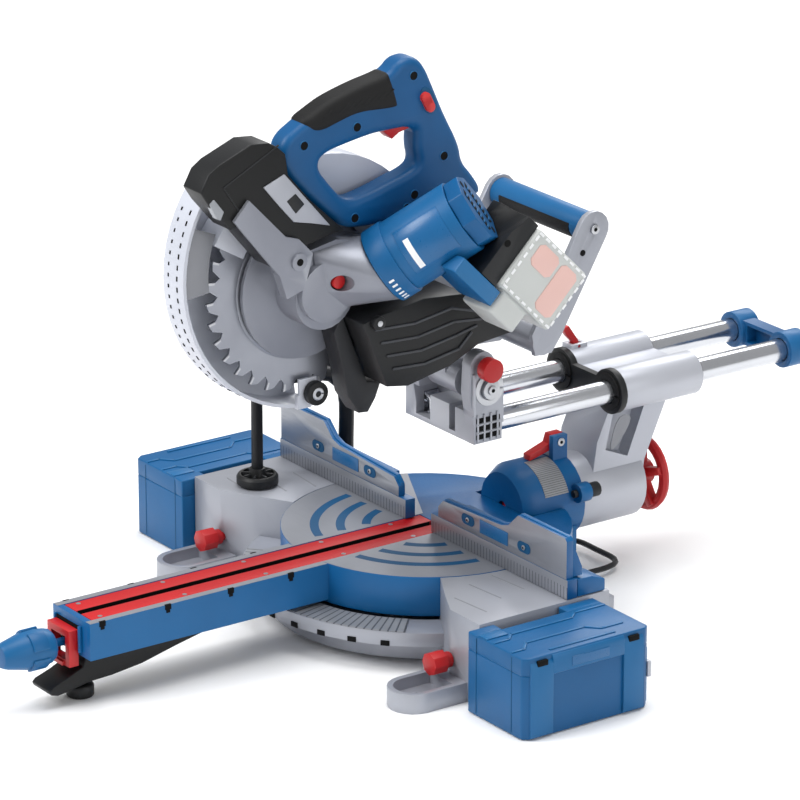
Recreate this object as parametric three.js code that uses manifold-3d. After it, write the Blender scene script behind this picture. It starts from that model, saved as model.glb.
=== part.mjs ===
// Cordless sliding compound mitre saw for the bench, in millimetres, +Z up.
// X runs to the operator's right, Y away from the operator. X = 0 is the saw blade's plane.
// The outer group moves the fence-line frame used below so that the origin is the middle of the base box.
import * as THREE from 'three';
import { mergeVertices } from 'three/addons/utils/BufferGeometryUtils.js';
import Module from 'manifold-3d';

const wasm = await Module();
wasm.setup();

// ---- driving dimensions ----
const GAP = 0.35; // running gap between neighbouring pieces
const TABLE_Z = 85.6; // height of the work surface
const MITRE_Y = 10; // mitre pivot, just behind the fence face
const TURN_R = 146; // turntable radius
const FLOOR_UNDER_TURN_Z = 45; // underside of the turntable
const TILT_Z = 83; // height of the bevel axis
const HUB = { r: 44, y0: 104, y1: 176 }; // bevel hub on the turntable
const ARM = { halfW: 33.5, y0: -406, z0: 48 }; // mitre arm
const KERF = { half: 4.5, y0: -397, y1: 18 }; // slot in the table
const FENCE = { inner: 22, outer: 246, lowTop: 106, depth: 12 };
const UPPER = { inner: 34, outer: 244, low: 128, high: 148 };
const WING = { inner: 120, outer: 247, front: -105, back: 50 };
const LUG = { x: 203, y: -140, halfW: 25, front: -176, h: 20 };
const BOX = { x0: 248.4, x1: 341, y0: -120, y1: 29 }; // slide-out side boxes
const RAIL = { x: 40, z: 197, r: 12, y0: 36, y1: 440 };
const HOUSING = { y0: 214, y1: 311, r: 22.4 }; // twin bearing housing
const CHOP = { y: 44, z: 238 }; // pivot of the chopping head
const ARBOR = { y: -141, z: 366 }; // blade axis
const BLADE = { r: 108, teeth: 32, half: 1.2 };
const GUARD_ARC = { y: -128, z: 390, r: 149 }; // outer arc of the lower guard
// Radii of the fixed guard behind, in front of and over the blade.
const UPPER_GUARD = { rear: 122, front: 115, y: -120, bulge: 127 };
// A point on the motor axis, and the axis's direction in degrees.
const MOTOR = { x: 60, y: -88, z: 388, yaw: 52, lift: 34, r: 37, seam: 96, end: 112 };
const CARRY = { y: 155, z: 388, half: 78 }; // carrying handle
const FRONT_Y = -486; // tip of the mitre knob
const REAR_Y = 454; // back of the rail end cap

// ---- materials ----
const finish = (color, roughness, metalness) => (
  new THREE.MeshStandardMaterial({ color, roughness, metalness })
);
const MAT = {
  blue: () => finish('#0b5c92', 0.45, 0.1),
  casting: () => finish('#bfc3cb', 0.5, 0.6),
  aluminium: () => finish('#c9ccd1', 0.35, 0.9),
  steel: () => finish('#b9bcc2', 0.25, 1),
  black: () => finish('#1b1c1e', 0.6, 0),
  rubber: () => finish('#141414', 0.85, 0),
  red: () => finish('#c9252b', 0.4, 0),
  white: () => finish('#e3e6ec', 0.45, 0),
  ghost: () => finish('#c9cccb', 0.5, 0),
};

// ---- solids ----
function toSolid(geometry) {
  const g = geometry.clone();
  g.deleteAttribute('normal');
  g.deleteAttribute('uv');
  const m = mergeVertices(g, 1e-4);
  return new wasm.Manifold(new wasm.Mesh({
    numProp: 3,
    vertProperties: Float32Array.from(m.attributes.position.array),
    triVerts: Uint32Array.from(m.index.array),
  }));
}

function toGeometry(solid) {
  const m = solid.getMesh();
  const g = new THREE.BufferGeometry();
  g.setAttribute('position', new THREE.BufferAttribute(new Float32Array(m.vertProperties), 3));
  g.setIndex(new THREE.BufferAttribute(new Uint32Array(m.triVerts), 1));
  g.computeVertexNormals();
  return g;
}

const join = (first, ...rest) => rest.reduce((a, b) => a.add(b), first);
const cut = (first, ...rest) => rest.reduce((a, b) => a.subtract(b), first);
const hull = (points) => wasm.Manifold.hull(points);

function box(x0, x1, y0, y1, z0, z1) {
  const g = new THREE.BoxGeometry(x1 - x0, y1 - y0, z1 - z0);
  return toSolid(g.translate((x0 + x1) / 2, (y0 + y1) / 2, (z0 + z1) / 2));
}

// Frames that carry an outline's (u, v) plane and its depth onto two axes of the saw.
const [UNIT_X, UNIT_Y, UNIT_Z] = [[1, 0, 0], [0, 1, 0], [0, 0, 1]].map((v) => new THREE.Vector3(...v));
const BASIS = {
  X: new THREE.Matrix4().makeBasis(UNIT_Y, UNIT_Z, UNIT_X),
  Y: new THREE.Matrix4().makeBasis(UNIT_X, UNIT_Z, UNIT_Y.clone().negate()),
  Z: new THREE.Matrix4(),
};

// An outline extruded along an axis from lo to hi: (y, z) points for X, (x, z) for Y, (x, y) for Z.
function prism(axis, points, lo, hi) {
  const shape = new THREE.Shape(points.map(([u, v]) => new THREE.Vector2(u, v)));
  const g = new THREE.ExtrudeGeometry(shape, { depth: hi - lo, bevelEnabled: false, steps: 1 });
  g.applyMatrix4(BASIS[axis]);
  const start = axis === 'Y' ? hi : lo;
  const shift = { X: [start, 0, 0], Y: [0, start, 0], Z: [0, 0, start] }[axis];
  return toSolid(g.translate(...shift));
}

// Points of an arc, in degrees.
function arc(cu, cv, r, from, to, n) {
  return Array.from({ length: n + 1 }, (_, i) => {
    const a = THREE.MathUtils.degToRad(from + ((to - from) * i) / n);
    return [cu + r * Math.cos(a), cv + r * Math.sin(a)];
  });
}

const ring = (cu, cv, r, n = 24) => arc(cu, cv, r, 0, 360 - 360 / n, n - 1);
const rod = (axis, cu, cv, r, lo, hi, n = 20) => prism(axis, ring(cu, cv, r, n), lo, hi);

// A solid of revolution about Y: (radius, y) profile, closed on itself or on the axis.
function latheY(cx, cz, profile, n = 24) {
  const g = new THREE.LatheGeometry(profile.map(([r, y]) => new THREE.Vector2(r, y)), n);
  return toSolid(g.translate(cx, 0, cz));
}

function tube(points, r, sides, steps) {
  const path = new THREE.CatmullRomCurve3(points.map((p) => new THREE.Vector3(...p)), false, 'catmullrom', 0.5);
  const section = new THREE.Shape(ring(0, 0, r, sides).map(([u, v]) => new THREE.Vector2(u, v)));
  return toSolid(new THREE.ExtrudeGeometry(section, { steps, bevelEnabled: false, extrudePath: path }));
}

const mirrorX = (points) => points.map(([x, y]) => [-x, y]).reverse();
const sided = (side, points) => (side > 0 ? points : mirrorX(points));
const sidedBox = (side, x0, x1, ...rest) => (side > 0 ? box(x0, x1, ...rest) : box(-x1, -x0, ...rest));

// ---- scene graph: one group for each thing that moves ----
const saw = new THREE.Group();
saw.position.y = -(FRONT_Y + REAR_Y) / 2;
const branch = (parent) => {
  const g = new THREE.Group();
  parent.add(g);
  return g;
};
const turntable = branch(saw);
const tilt = branch(turntable);
const carriage = branch(tilt);
const head = branch(carriage);

function piece(parent, name, solid, material) {
  const mesh = new THREE.Mesh(toGeometry(solid), material);
  mesh.name = name;
  parent.add(mesh);
  return mesh;
}

// ---- base ----
const CLAMP_POST = { x: -178, y: 36, r: 8 };
const ROD = { z: 19, ys: [-60, 12], r: 6, inner: 78, bar: 256 };
const LOCK_KNOB = { x: 200, z: 35, r: 11.5 };

function wingSolid(side) {
  const outline = sided(side, [
    [WING.inner, -60], [168, -88], [200, WING.front], [WING.outer, WING.front],
    [WING.outer, WING.back], [WING.inner, WING.back],
  ]);
  let wing = prism('Z', outline, 0, TABLE_Z);
  wing = cut(
    wing,
    rod('Z', 0, MITRE_Y, TURN_R + 1.2, FLOOR_UNDER_TURN_Z - 1.5, TABLE_Z + 1, 48),
    sidedBox(side, 160, 192, -70, WING.back - 8, -1, 36),
    sidedBox(side, 200, 240, -92, WING.back - 8, -1, 76),
    rod('Y', side * LOCK_KNOB.x, LOCK_KNOB.z, 5.4, WING.front - 1, WING.front + 26, 12),
  );
  return wing;
}

function lugSolid(side) {
  const cx = side * LUG.x;
  const round = LUG.halfW;
  const front = LUG.front + round;
  const back = WING.front + 4;
  const outline = [...arc(cx, front, round, 180, 360, 10), [cx + round, back], [cx - round, back]];
  const dish = [...arc(cx, front, round - 6, 180, 360, 10), [cx + round - 6, -118], [cx - round + 6, -118]];
  return cut(
    prism('Z', outline, 0, LUG.h),
    prism('Z', dish, 8, LUG.h + 1),
    rod('Z', cx, LUG.y - 6, 5, -1, 20, 12),
  );
}

function baseCasting() {
  const plate = cut(rod('Z', 0, MITRE_Y, 160, 6, 29, 40), box(-200, 200, 132, 220, 0, 40));
  const scale = cut(
    rod('Z', 0, MITRE_Y, 186, 29, 43, 48),
    rod('Z', 0, MITRE_Y, 150, 34, 50, 40),
    box(-200, 200, 20, 220, 20, 60),
  );
  const rear = box(-150, 150, 30, 132, 0, 29);
  const pivot = rod('Z', 0, MITRE_Y, 18, 20, 60, 20);
  let base = join(plate, scale, rear, pivot, wingSolid(1), wingSolid(-1), lugSolid(1), lugSolid(-1));
  base = cut(base, box(-100, 100, -80, 110, -1, 16));
  for (const y of ROD.ys) base = cut(base, rod('X', y, ROD.z, ROD.r + GAP, -260, 260, 12));
  base = cut(
    base,
    rod('Z', CLAMP_POST.x, CLAMP_POST.y, CLAMP_POST.r + GAP, 39, 90, 16),
    rod('Y', 45, 9, 3.4, 104, 140, 10),
    rod('Y', -45, 9, 3.4, 104, 140, 10),
  );
  return base;
}

function lowerFence(side) {
  const wall = sidedBox(side, FENCE.inner, FENCE.outer, 0, FENCE.depth, TABLE_Z + GAP, FENCE.lowTop);
  const foot = sidedBox(side, 152, 240, FENCE.depth - 1, 24, TABLE_Z + GAP, 91);
  return join(wall, foot);
}

function upperFence(side) {
  const edge = sided(side, [
    [UPPER.inner, FENCE.lowTop + GAP], [UPPER.outer, FENCE.lowTop + GAP], [UPPER.outer, UPPER.high - 3],
    [UPPER.outer - 3, UPPER.high], [166, UPPER.high], [150, 133], [138, UPPER.low + 1.5],
    [42, UPPER.low - 3], [UPPER.inner, 117],
  ]);
  const face = prism('Y', edge, 0.2, 8);
  const rail = sidedBox(side, 60, 236, 7, 20, FENCE.lowTop + GAP, 122);
  const tongue = sidedBox(side, 60, 236, FENCE.depth + GAP, 20, 93, FENCE.lowTop + 2);
  const screws = [84, 176].map((x) => rod('Y', side * x, 118, 4.6, -1, 9, 12));
  return cut(join(face, rail, tongue), ...screws);
}

function sideBox(side) {
  const profile = sided(side, [
    [BOX.x0, BOX.y0], [BOX.x1 - 8, BOX.y0], [BOX.x1, BOX.y0 + 8],
    [BOX.x1, BOX.y1 - 6], [BOX.x1 - 6, BOX.y1], [BOX.x0, BOX.y1],
  ]);
  const recess = sidedBox(side, BOX.x1 - 2, BOX.x1 + 2, BOX.y0 + 26, BOX.y1 - 22, 10, 52);
  const slot = sidedBox(side, BOX.x0 - 1, BOX.x0 + 13, -88, -14, 66, 90);
  const [y0, y1] = [ROD.ys[0] - ROD.r - 1, ROD.ys[1] + ROD.r + 1];
  const pocket = sidedBox(side, BOX.x0 - 1, 264, y0, Math.min(y1, BOX.y1 - 6), ROD.z - 7, ROD.z + 7);
  return cut(prism('Z', profile, 0, TABLE_Z - 0.6), recess, slot, pocket);
}

function extensionRods(side) {
  const ends = side > 0 ? [ROD.inner, ROD.bar] : [-ROD.bar, -ROD.inner];
  const rods = ROD.ys.map((y) => rod('X', y, ROD.z, ROD.r - 0.3, ...ends, 12));
  const [y0, y1] = [ROD.ys[0] - ROD.r, ROD.ys[1] + ROD.r];
  const bar = sidedBox(side, ROD.bar - 4, ROD.bar + 7, y0, y1, ROD.z - 6, ROD.z + 6);
  return join(...rods, bar);
}

function boxLockKnob(side) {
  const x = side * LOCK_KNOB.x;
  const front = WING.front - 1;
  return join(
    rod('Y', x, LOCK_KNOB.z, LOCK_KNOB.r, front - 24, front - 8, 8),
    rod('Y', x, LOCK_KNOB.z, 8, front - 10, front - 0.3, 12),
    rod('Y', x, LOCK_KNOB.z, 5, front - 4, front + 22, 12),
  );
}

piece(saw, 'base_casting', baseCasting(), MAT.casting());
for (const [side, word] of [[-1, 'left'], [1, 'right']]) {
  piece(saw, `fence_lower_${word}`, lowerFence(side), MAT.aluminium());
  piece(saw, `fence_upper_${word}`, upperFence(side), MAT.aluminium());
  piece(saw, `side_box_${word}`, sideBox(side), MAT.blue());
  piece(saw, `extension_rods_${word}`, extensionRods(side), MAT.steel());
  piece(saw, `box_lock_knob_${word}`, boxLockKnob(side), MAT.red());
}

// ---- work clamp on the left wing ----
const SPINDLE = { x: -191, y: -65, top: 212 };
const CLAMP_ARM_Z = 196;

function clampPost() {
  const bend = [
    [CLAMP_POST.x, CLAMP_POST.y, 40], [CLAMP_POST.x, CLAMP_POST.y, 110], [CLAMP_POST.x, CLAMP_POST.y, 164],
    [CLAMP_POST.x - 2, CLAMP_POST.y - 9, 184], [CLAMP_POST.x - 5, CLAMP_POST.y - 30, CLAMP_ARM_Z - 2],
    [SPINDLE.x, SPINDLE.y + 8, CLAMP_ARM_Z],
  ];
  const collar = rod('Z', SPINDLE.x, SPINDLE.y, 12, CLAMP_ARM_Z - 10, CLAMP_ARM_Z + 10, 16);
  const arm = join(tube(bend, CLAMP_POST.r, 12, 18), collar);
  return cut(arm, rod('Z', SPINDLE.x, SPINDLE.y, 6.4, 180, 212, 16));
}

function clampSpindle() {
  return join(
    rod('Z', SPINDLE.x, SPINDLE.y, 6, 96, SPINDLE.top, 12),
    rod('Z', SPINDLE.x, SPINDLE.y, 12, SPINDLE.top - 6, SPINDLE.top + 10, 10),
  );
}

function clampPad() {
  const cup = rod('Z', SPINDLE.x, SPINDLE.y, 21, TABLE_Z + GAP, 98, 20);
  return cut(cup, rod('Z', SPINDLE.x, SPINDLE.y, 17, 92, 100, 16));
}

piece(saw, 'clamp_post', clampPost(), MAT.black());
piece(saw, 'clamp_spindle', clampSpindle(), MAT.black());
piece(saw, 'clamp_pad', cut(clampPad(), rod('Z', SPINDLE.x, SPINDLE.y, 6.3, 90, 99, 12)), MAT.rubber());

// ---- anti-tip bow at the back ----
function antiTipBow() {
  const half = 45;
  const z = 9;
  const bend = [
    [-half, 106, z], [-half, 160, z], [-half, 205, z], [-half + 12, 224, z], [0, 226, z],
    [half - 12, 224, z], [half, 205, z], [half, 160, z], [half, 106, z],
  ];
  return tube(bend, 3, 8, 40);
}
piece(saw, 'anti_tip_bow', antiTipBow(), MAT.black());

// ---- turntable, arm and what is on it ----
const LOCK_ROD = { z: 60, r: 4 };

function turntableSolid() {
  const disc = rod('Z', 0, MITRE_Y, TURN_R, FLOOR_UNDER_TURN_Z, TABLE_Z, 48);
  const arm = box(-ARM.halfW, ARM.halfW, ARM.y0, -100, ARM.z0, TABLE_Z);
  const seat = box(-25, 25, -399, KERF.y1 + 2, TABLE_Z - 5, TABLE_Z + 1);
  const kerf = box(-6, 6, KERF.y0, KERF.y1, 68, TABLE_Z);
  const notch = box(-HUB.r - 1, HUB.r + 1, HUB.y0 - GAP, 200, 20, TABLE_Z + 1);
  return cut(
    join(disc, arm), seat, kerf, notch,
    rod('Z', 0, MITRE_Y, 18 + GAP, 40, 60 + GAP, 20),
    rod('Y', 0, LOCK_ROD.z, LOCK_ROD.r + GAP, ARM.y0 - 1, -40, 12),
  );
}

function insert(side) {
  return sidedBox(side, KERF.half, 24.6, -398, KERF.y1 + 1.5, TABLE_Z - 5 + GAP, TABLE_Z - 0.3);
}

function bevelHub() {
  const profile = [[0, HUB.y0], [36, HUB.y0], [HUB.r, HUB.y0 + 14], [HUB.r, HUB.y1], [0, HUB.y1]];
  const dome = latheY(0, TILT_Z, profile, 28);
  const foot = box(-38, 38, HUB.y0, HUB.y1 - 6, 33, 60);
  const boss = box(-7, 13, 158, HUB.y1, 112, 150);
  const stop = rod('Y', 47, 99, 10, 162, HUB.y1, 16);
  return cut(
    join(dome, foot, boss, stop),
    rod('Y', 0, TILT_Z, 6 + GAP, HUB.y0 - 1, HUB.y1 + 1, 16),
    rod('Y', 47, 99, 4 + GAP, 155, HUB.y1 + 1, 12),
    box(-8, 6 + GAP, 150, 180, 128, 151),
    rod('X', 168, 143, 3.2, -8, 14, 12),
  );
}

function bevelStopScrew() {
  return join(rod('Y', 47, 99, 4, 158, 180, 12), rod('Y', 47, 99, 7.5, HUB.y1 + GAP, HUB.y1 + 13, 12));
}

function bevelRangeLever() {
  const outline = [[134, 127.5], [160, 134], [174, 134], [176, 150], [161, 150], [158, 141], [134, 133]];
  return join(
    prism('X', outline, -5, 6),
    rod('X', 168, 143, 2.9, 5, 12, 12),
  );
}

function mitreKnob() {
  const profile = [
    [0, -486], [11, -486], [13.5, -481], [19, -458], [19.5, -446], [17, -433], [14, -429.5], [0, -429.5],
  ];
  const grip = latheY(0, LOCK_ROD.z, profile, 12);
  return join(grip, rod('Y', 0, LOCK_ROD.z, LOCK_ROD.r, -436, -60, 12));
}

function detentLever() {
  const outer = box(-24, 15, -418.5, -408, 38, 75);
  const window = box(-17, 8, -425, -400, 44, 68);
  const ear = rod('X', -411, 71, 4, -24, 15, 12);
  const tab = box(-12, 6, -421, -412, 38, 42);
  return join(cut(outer, window), ear, tab);
}

function armFoot() {
  const outline = [
    [-392, 47.6], [-404, 47.6], [-404, 36], [-428, 36], [-431, 31], [-424, 4], [-418, 0], [-388, 0],
    [-382, 12], [-372, 34], [-350, 47.6],
  ];
  return prism('X', outline, -21, 21);
}

piece(turntable, 'turntable', turntableSolid(), MAT.blue());
piece(turntable, 'insert_left', insert(-1), MAT.red());
piece(turntable, 'insert_right', insert(1), MAT.red());
piece(turntable, 'bevel_hub', bevelHub(), MAT.blue());
piece(turntable, 'bevel_stop_screw', bevelStopScrew(), MAT.black());
piece(turntable, 'bevel_range_lever', bevelRangeLever(), MAT.red());
piece(turntable, 'mitre_lock_knob', mitreKnob(), MAT.blue());
piece(turntable, 'mitre_detent_lever', detentLever(), MAT.red());
piece(turntable, 'arm_foot', armFoot(), MAT.rubber());

// ---- bevel arm, bearing housing and hand wheel ----
const WHEEL = { r: 41, tube: 5.5, y: 284 };

function bevelArm() {
  const y0 = HUB.y1 + GAP;
  const barrel = rod('Y', 0, TILT_Z, 40, y0, 258, 28);
  const side = [[194, 92], [201, 140], [219, 180], [296, 185], [262, 110], [258, 80], [196, 80]];
  const column = prism('X', side, -30, 30);
  const hollow = prism('X', [[212, 130], [222, 172], [262, 172], [240, 118]], 14, 31);
  const left = rod('Y', -RAIL.x, RAIL.z, HOUSING.r, HOUSING.y0, HOUSING.y1, 24);
  const right = rod('Y', RAIL.x, RAIL.z, HOUSING.r, HOUSING.y0, HOUSING.y1, 24);
  const web = box(-RAIL.x, RAIL.x, HOUSING.y0, HOUSING.y1, 188, 206);
  const leverBoss = box(-50, -34, 216, 236, 214, 223);
  return cut(
    join(barrel, cut(column, hollow), left, right, web, leverBoss),
    rod('Y', -RAIL.x, RAIL.z, 14.4, HOUSING.y0 - 1, HOUSING.y1 + 1, 20),
    rod('Y', RAIL.x, RAIL.z, 14.4, HOUSING.y0 - 1, HOUSING.y1 + 1, 20),
    rod('Y', 0, TILT_Z, 6 + GAP, y0 - 1, 300, 16),
    box(-46, -38, 220, 232, 216.5, 224),
    rod('X', 226, 220.5, 1.9, -51, -33, 10),
  );
}

function sealPlate() {
  const y0 = 206;
  const y1 = HOUSING.y0 - GAP;
  const plate = join(
    rod('Y', -RAIL.x, RAIL.z, 23.5, y0, y1, 24),
    rod('Y', RAIL.x, RAIL.z, 23.5, y0, y1, 24),
    box(-RAIL.x, RAIL.x, y0, y1, 184, 209),
  );
  const bores = [-RAIL.x, RAIL.x].map((x) => rod('Y', x, RAIL.z, 12.4, 200, 220, 20));
  return cut(plate, ...bores);
}

function railBush(x) {
  return cut(
    rod('Y', x, RAIL.z, 14, HOUSING.y0 + 4, HOUSING.y1 - 4, 20),
    rod('Y', x, RAIL.z, 12.4, HOUSING.y0, HOUSING.y1, 20),
  );
}

function bevelWheel() {
  const section = [...ring(WHEEL.r - WHEEL.tube, WHEEL.y, WHEEL.tube, 8), [WHEEL.r, WHEEL.y]];
  const rim = latheY(0, TILT_Z, section, 28);
  const hub = rod('Y', 0, TILT_Z, 13, 262, WHEEL.y + 6, 16);
  const arms = [0, 1, 2, 3, 4].map((i) => {
    const a = ((90 + 72 * i) * Math.PI) / 180;
    const [s, c] = [Math.sin(a), Math.cos(a)];
    const along = (d, w) => [d * c - w * s, TILT_Z + d * s + w * c];
    return prism('Y', [along(8, -5), along(37, -4), along(37, 4), along(8, 5)], WHEEL.y - 8, WHEEL.y + 2);
  });
  const bolt = rod('Y', 0, TILT_Z, 5.6, HUB.y0 + 4, WHEEL.y, 12);
  return join(rim, hub, bolt, ...arms);
}

function railLockLever() {
  return join(
    prism('X', [[222, 218], [230, 218], [228, 226], [216, 243], [209, 241], [214, 232], [222, 224]], -45, -39),
    rod('X', 226, 220.5, 1.6, -49, -35, 10),
  );
}

piece(tilt, 'bevel_arm', bevelArm(), MAT.casting());
piece(tilt, 'rail_seal_plate', sealPlate(), MAT.black());
piece(tilt, 'rail_bush_left', railBush(-RAIL.x), MAT.black());
piece(tilt, 'rail_bush_right', railBush(RAIL.x), MAT.black());
piece(tilt, 'bevel_wheel', bevelWheel(), MAT.red());
piece(tilt, 'rail_lock_lever', railLockLever(), MAT.red());

// ---- sliding carriage ----
const LOCK_PIN = { y: 36, z: 263 };

function guideRail(x) {
  const bore = rod('Y', x, RAIL.z, 9, RAIL.y0 - 1, RAIL.y1 + 1, 16);
  return cut(rod('Y', x, RAIL.z, RAIL.r, RAIL.y0, RAIL.y1, 20), bore);
}

function railEndCap() {
  const y0 = 430;
  const cap = join(
    rod('Y', -RAIL.x, RAIL.z, 19, y0, REAR_Y, 24),
    rod('Y', RAIL.x, RAIL.z, 19, y0, REAR_Y, 24),
    box(-RAIL.x, RAIL.x, y0 + 4, REAR_Y - 4, 184, 210),
  );
  return cut(
    cap,
    rod('Y', -RAIL.x, RAIL.z, RAIL.r + GAP, y0 - 1, RAIL.y1 + GAP, 20),
    rod('Y', RAIL.x, RAIL.z, RAIL.r + GAP, y0 - 1, RAIL.y1 + GAP, 20),
    box(-19, 19, y0, 446, 188, 206),
  );
}

function headBracket() {
  const block = box(-58, 58, 26, 60, 183, 214);
  const earOutline = [
    [26, 200], ...arc(CHOP.y, CHOP.z, 18, -8, 20, 2), ...arc(LOCK_PIN.y, LOCK_PIN.z, 15, 20, 190, 8),
    ...arc(CHOP.y - 4, CHOP.z, 20, 175, 185, 1),
  ];
  earOutline.splice(1, 0, [62, 200]);
  const right = prism('X', earOutline, 44, 58);
  const left = prism('X', earOutline, -44, -30);
  return cut(
    join(block, right, left),
    box(-40, -16, 20, 52, 188, 220),
    box(16, 26, 20, 52, 188, 220),
    rod('Y', -RAIL.x, RAIL.z, RAIL.r + GAP, RAIL.y0 - GAP, 70, 20),
    rod('Y', RAIL.x, RAIL.z, RAIL.r + GAP, RAIL.y0 - GAP, 70, 20),
    rod('X', CHOP.y, CHOP.z, 6 + GAP, -60, 60, 16),
    rod('X', LOCK_PIN.y, LOCK_PIN.z, 4.5, 40, 60, 12),
  );
}

function pivotBolt() {
  return join(
    rod('X', CHOP.y, CHOP.z, 6, -48, 62, 16),
    rod('X', CHOP.y, CHOP.z, 10, 58 + GAP, 63, 16),
    rod('X', CHOP.y, CHOP.z, 9, -52, -44 - GAP, 6),
  );
}

function pivotSpring() {
  const turns = 3.5;
  const points = Array.from({ length: 43 }, (_, i) => {
    const a = (2 * Math.PI * turns * i) / 42;
    return [27.5 + (14 * i) / 42, CHOP.y + 11 * Math.cos(a), CHOP.z + 11 * Math.sin(a)];
  });
  return tube(points, 1.4, 6, 42);
}

function transportPin() {
  return join(
    rod('X', LOCK_PIN.y, LOCK_PIN.z, 4.2, 45, 66, 12),
    rod('X', LOCK_PIN.y, LOCK_PIN.z, 12, 64.6, 77, 16),
  );
}

piece(carriage, 'guide_rail_left', guideRail(-RAIL.x), MAT.aluminium());
piece(carriage, 'guide_rail_right', guideRail(RAIL.x), MAT.aluminium());
piece(carriage, 'rail_end_cap', railEndCap(), MAT.blue());
piece(carriage, 'head_bracket', headBracket(), MAT.casting());
piece(carriage, 'pivot_bolt', pivotBolt(), MAT.steel());
piece(carriage, 'head_spring', pivotSpring(), MAT.steel());
piece(carriage, 'transport_lock_pin', transportPin(), MAT.red());

// ---- chopping head ----
const degrees = THREE.MathUtils.degToRad;
const motorDir = new THREE.Vector3(
  Math.cos(degrees(MOTOR.lift)) * Math.cos(degrees(MOTOR.yaw)),
  Math.cos(degrees(MOTOR.lift)) * Math.sin(degrees(MOTOR.yaw)),
  Math.sin(degrees(MOTOR.lift)),
);
// Local +X becomes the motor axis, local +Y stays level.
const motorFrame = (() => {
  const level = new THREE.Vector3(-Math.sin(degrees(MOTOR.yaw)), Math.cos(degrees(MOTOR.yaw)), 0);
  const up = new THREE.Vector3().crossVectors(motorDir, level);
  return new THREE.Matrix4().makeBasis(motorDir, level, up).setPosition(MOTOR.x, MOTOR.y, MOTOR.z);
})();

// Carries a solid built along the local X axis onto the motor axis.
function onMotorAxis(solid) {
  return toSolid(toGeometry(solid).applyMatrix4(motorFrame));
}

// The fixed guard follows the blade in front and behind and bulges over its top.
function guardArc(inset) {
  return [
    ...arc(ARBOR.y, ARBOR.z, UPPER_GUARD.rear - inset, -28, 20, 7),
    ...arc(UPPER_GUARD.y, ARBOR.z, UPPER_GUARD.bulge - inset, 24, 130, 14),
    ...arc(ARBOR.y, ARBOR.z, UPPER_GUARD.front - inset, 125, 150, 5),
  ];
}

function upperGuard() {
  const hub = [[ARBOR.y - 40, ARBOR.z + 20], ...arc(ARBOR.y, ARBOR.z, 30, 200, 300, 6)];
  const full = prism('X', [...guardArc(0), ...hub], -26, 4.5);
  const hollow = prism('X', [...guardArc(4), [ARBOR.y, ARBOR.z]], -22, 2.4);
  const mouth = rod('X', ARBOR.y, ARBOR.z, 78, -22, 10, 32);
  const [front, rear] = [150, -28].map((angle) => arc(ARBOR.y, ARBOR.z, 300, angle, angle, 1)[0]);
  const below = prism('X', [front, [ARBOR.y, ARBOR.z], rear, [rear[0], 100], [front[0], 100]], -22, 10);
  return cut(full, hollow, mouth, below, rod('X', ARBOR.y, ARBOR.z, 9, -30, -20, 16));
}

const SPINDLE_LOCK = { y: -134, z: 382 };

// Points on a circle across the motor axis.
function motorRing(along, r, count) {
  const points = ring(0, 0, r, count).map(([v, w]) => new THREE.Vector3(along, v, w));
  return points.map((point) => point.applyMatrix4(motorFrame).toArray());
}

function gearCase() {
  const outline = [
    ...arc(ARBOR.y, ARBOR.z, 34, 170, 340, 12), [-98, 350], [-72, 355], [-64, 376], [-94, 414],
    [-128, 420], [-166, 413], [-186, 405],
  ];
  const lampArm = [
    [-249, 461], [-232, 479], [-191, 436], [-176, 431], [-160, 414], [-170, 380], [-190, 374], [-198, 398],
  ];
  const lampArmRoot = [[-160, 414], [-170, 380], [-190, 374], [-198, 398], [-192, 406], [-168, 415.5]];
  const dish = rod('X', ARBOR.y, ARBOR.z, 72, 5, 9.5, 32);
  const body = prism('X', outline, 9, 44);
  const boss = rod('X', ARBOR.y - 2, ARBOR.z + 6, 30, 40, 52, 24);
  const screwBoss = rod('X', -177, 409, 8.5, 50, 55, 14);
  const neck = hull([
    ...motorRing(1.6, MOTOR.r - 1.5, 20),
    ...[[-156, 412], [-128, 414], [-112, 360], [-128, 352], [-150, 372]].map(([y, z]) => [46, y, z]),
    ...[[-140, 412], [-100, 412], [-84, 362], [-118, 352]].map(([y, z]) => [20, y, z]),
  ]);
  const ribs = prism('X', [[-72, 355], [-44, 357], [-40, 400], [-94, 414]], 9, 22);
  const { y, z } = SPINDLE_LOCK;
  const arm = join(prism('X', lampArm, 48, 52), prism('X', lampArmRoot, 40, 50));
  return cut(
    join(dish, body, boss, arm, screwBoss, neck, ribs),
    rod('X', ARBOR.y, ARBOR.z, 24, 14, 40, 20),
    rod('X', ARBOR.y, ARBOR.z, 9, 0, 15, 16),
    rod('X', y, z, 8.5, 44.5, 80, 18),
    rod('X', y, z, 3.6, 37.5, 60, 10),
    onMotorAxis(rod('X', 0, 0, 9, -45, 10, 12)),
    onMotorAxis(rod('X', 0, 0, MOTOR.r + GAP, 2, 60, 24)),
  );
}

function spindleSolid() {
  return join(
    rod('X', ARBOR.y, ARBOR.z, 8, -14, 38, 16),
    rod('X', ARBOR.y, ARBOR.z, 22, 17, 26, 24),
    rod('X', ARBOR.y, ARBOR.z, 24, BLADE.half + 0.3, 3.4, 20),
  );
}

function arborBolt() {
  return cut(
    join(
      rod('X', ARBOR.y, ARBOR.z, 22, -6, -BLADE.half - 0.3, 20),
      rod('X', ARBOR.y, ARBOR.z, 10.5, -17, -5, 6),
    ),
    rod('X', ARBOR.y, ARBOR.z, 8.3, -14.4, 0, 16),
  );
}

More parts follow.
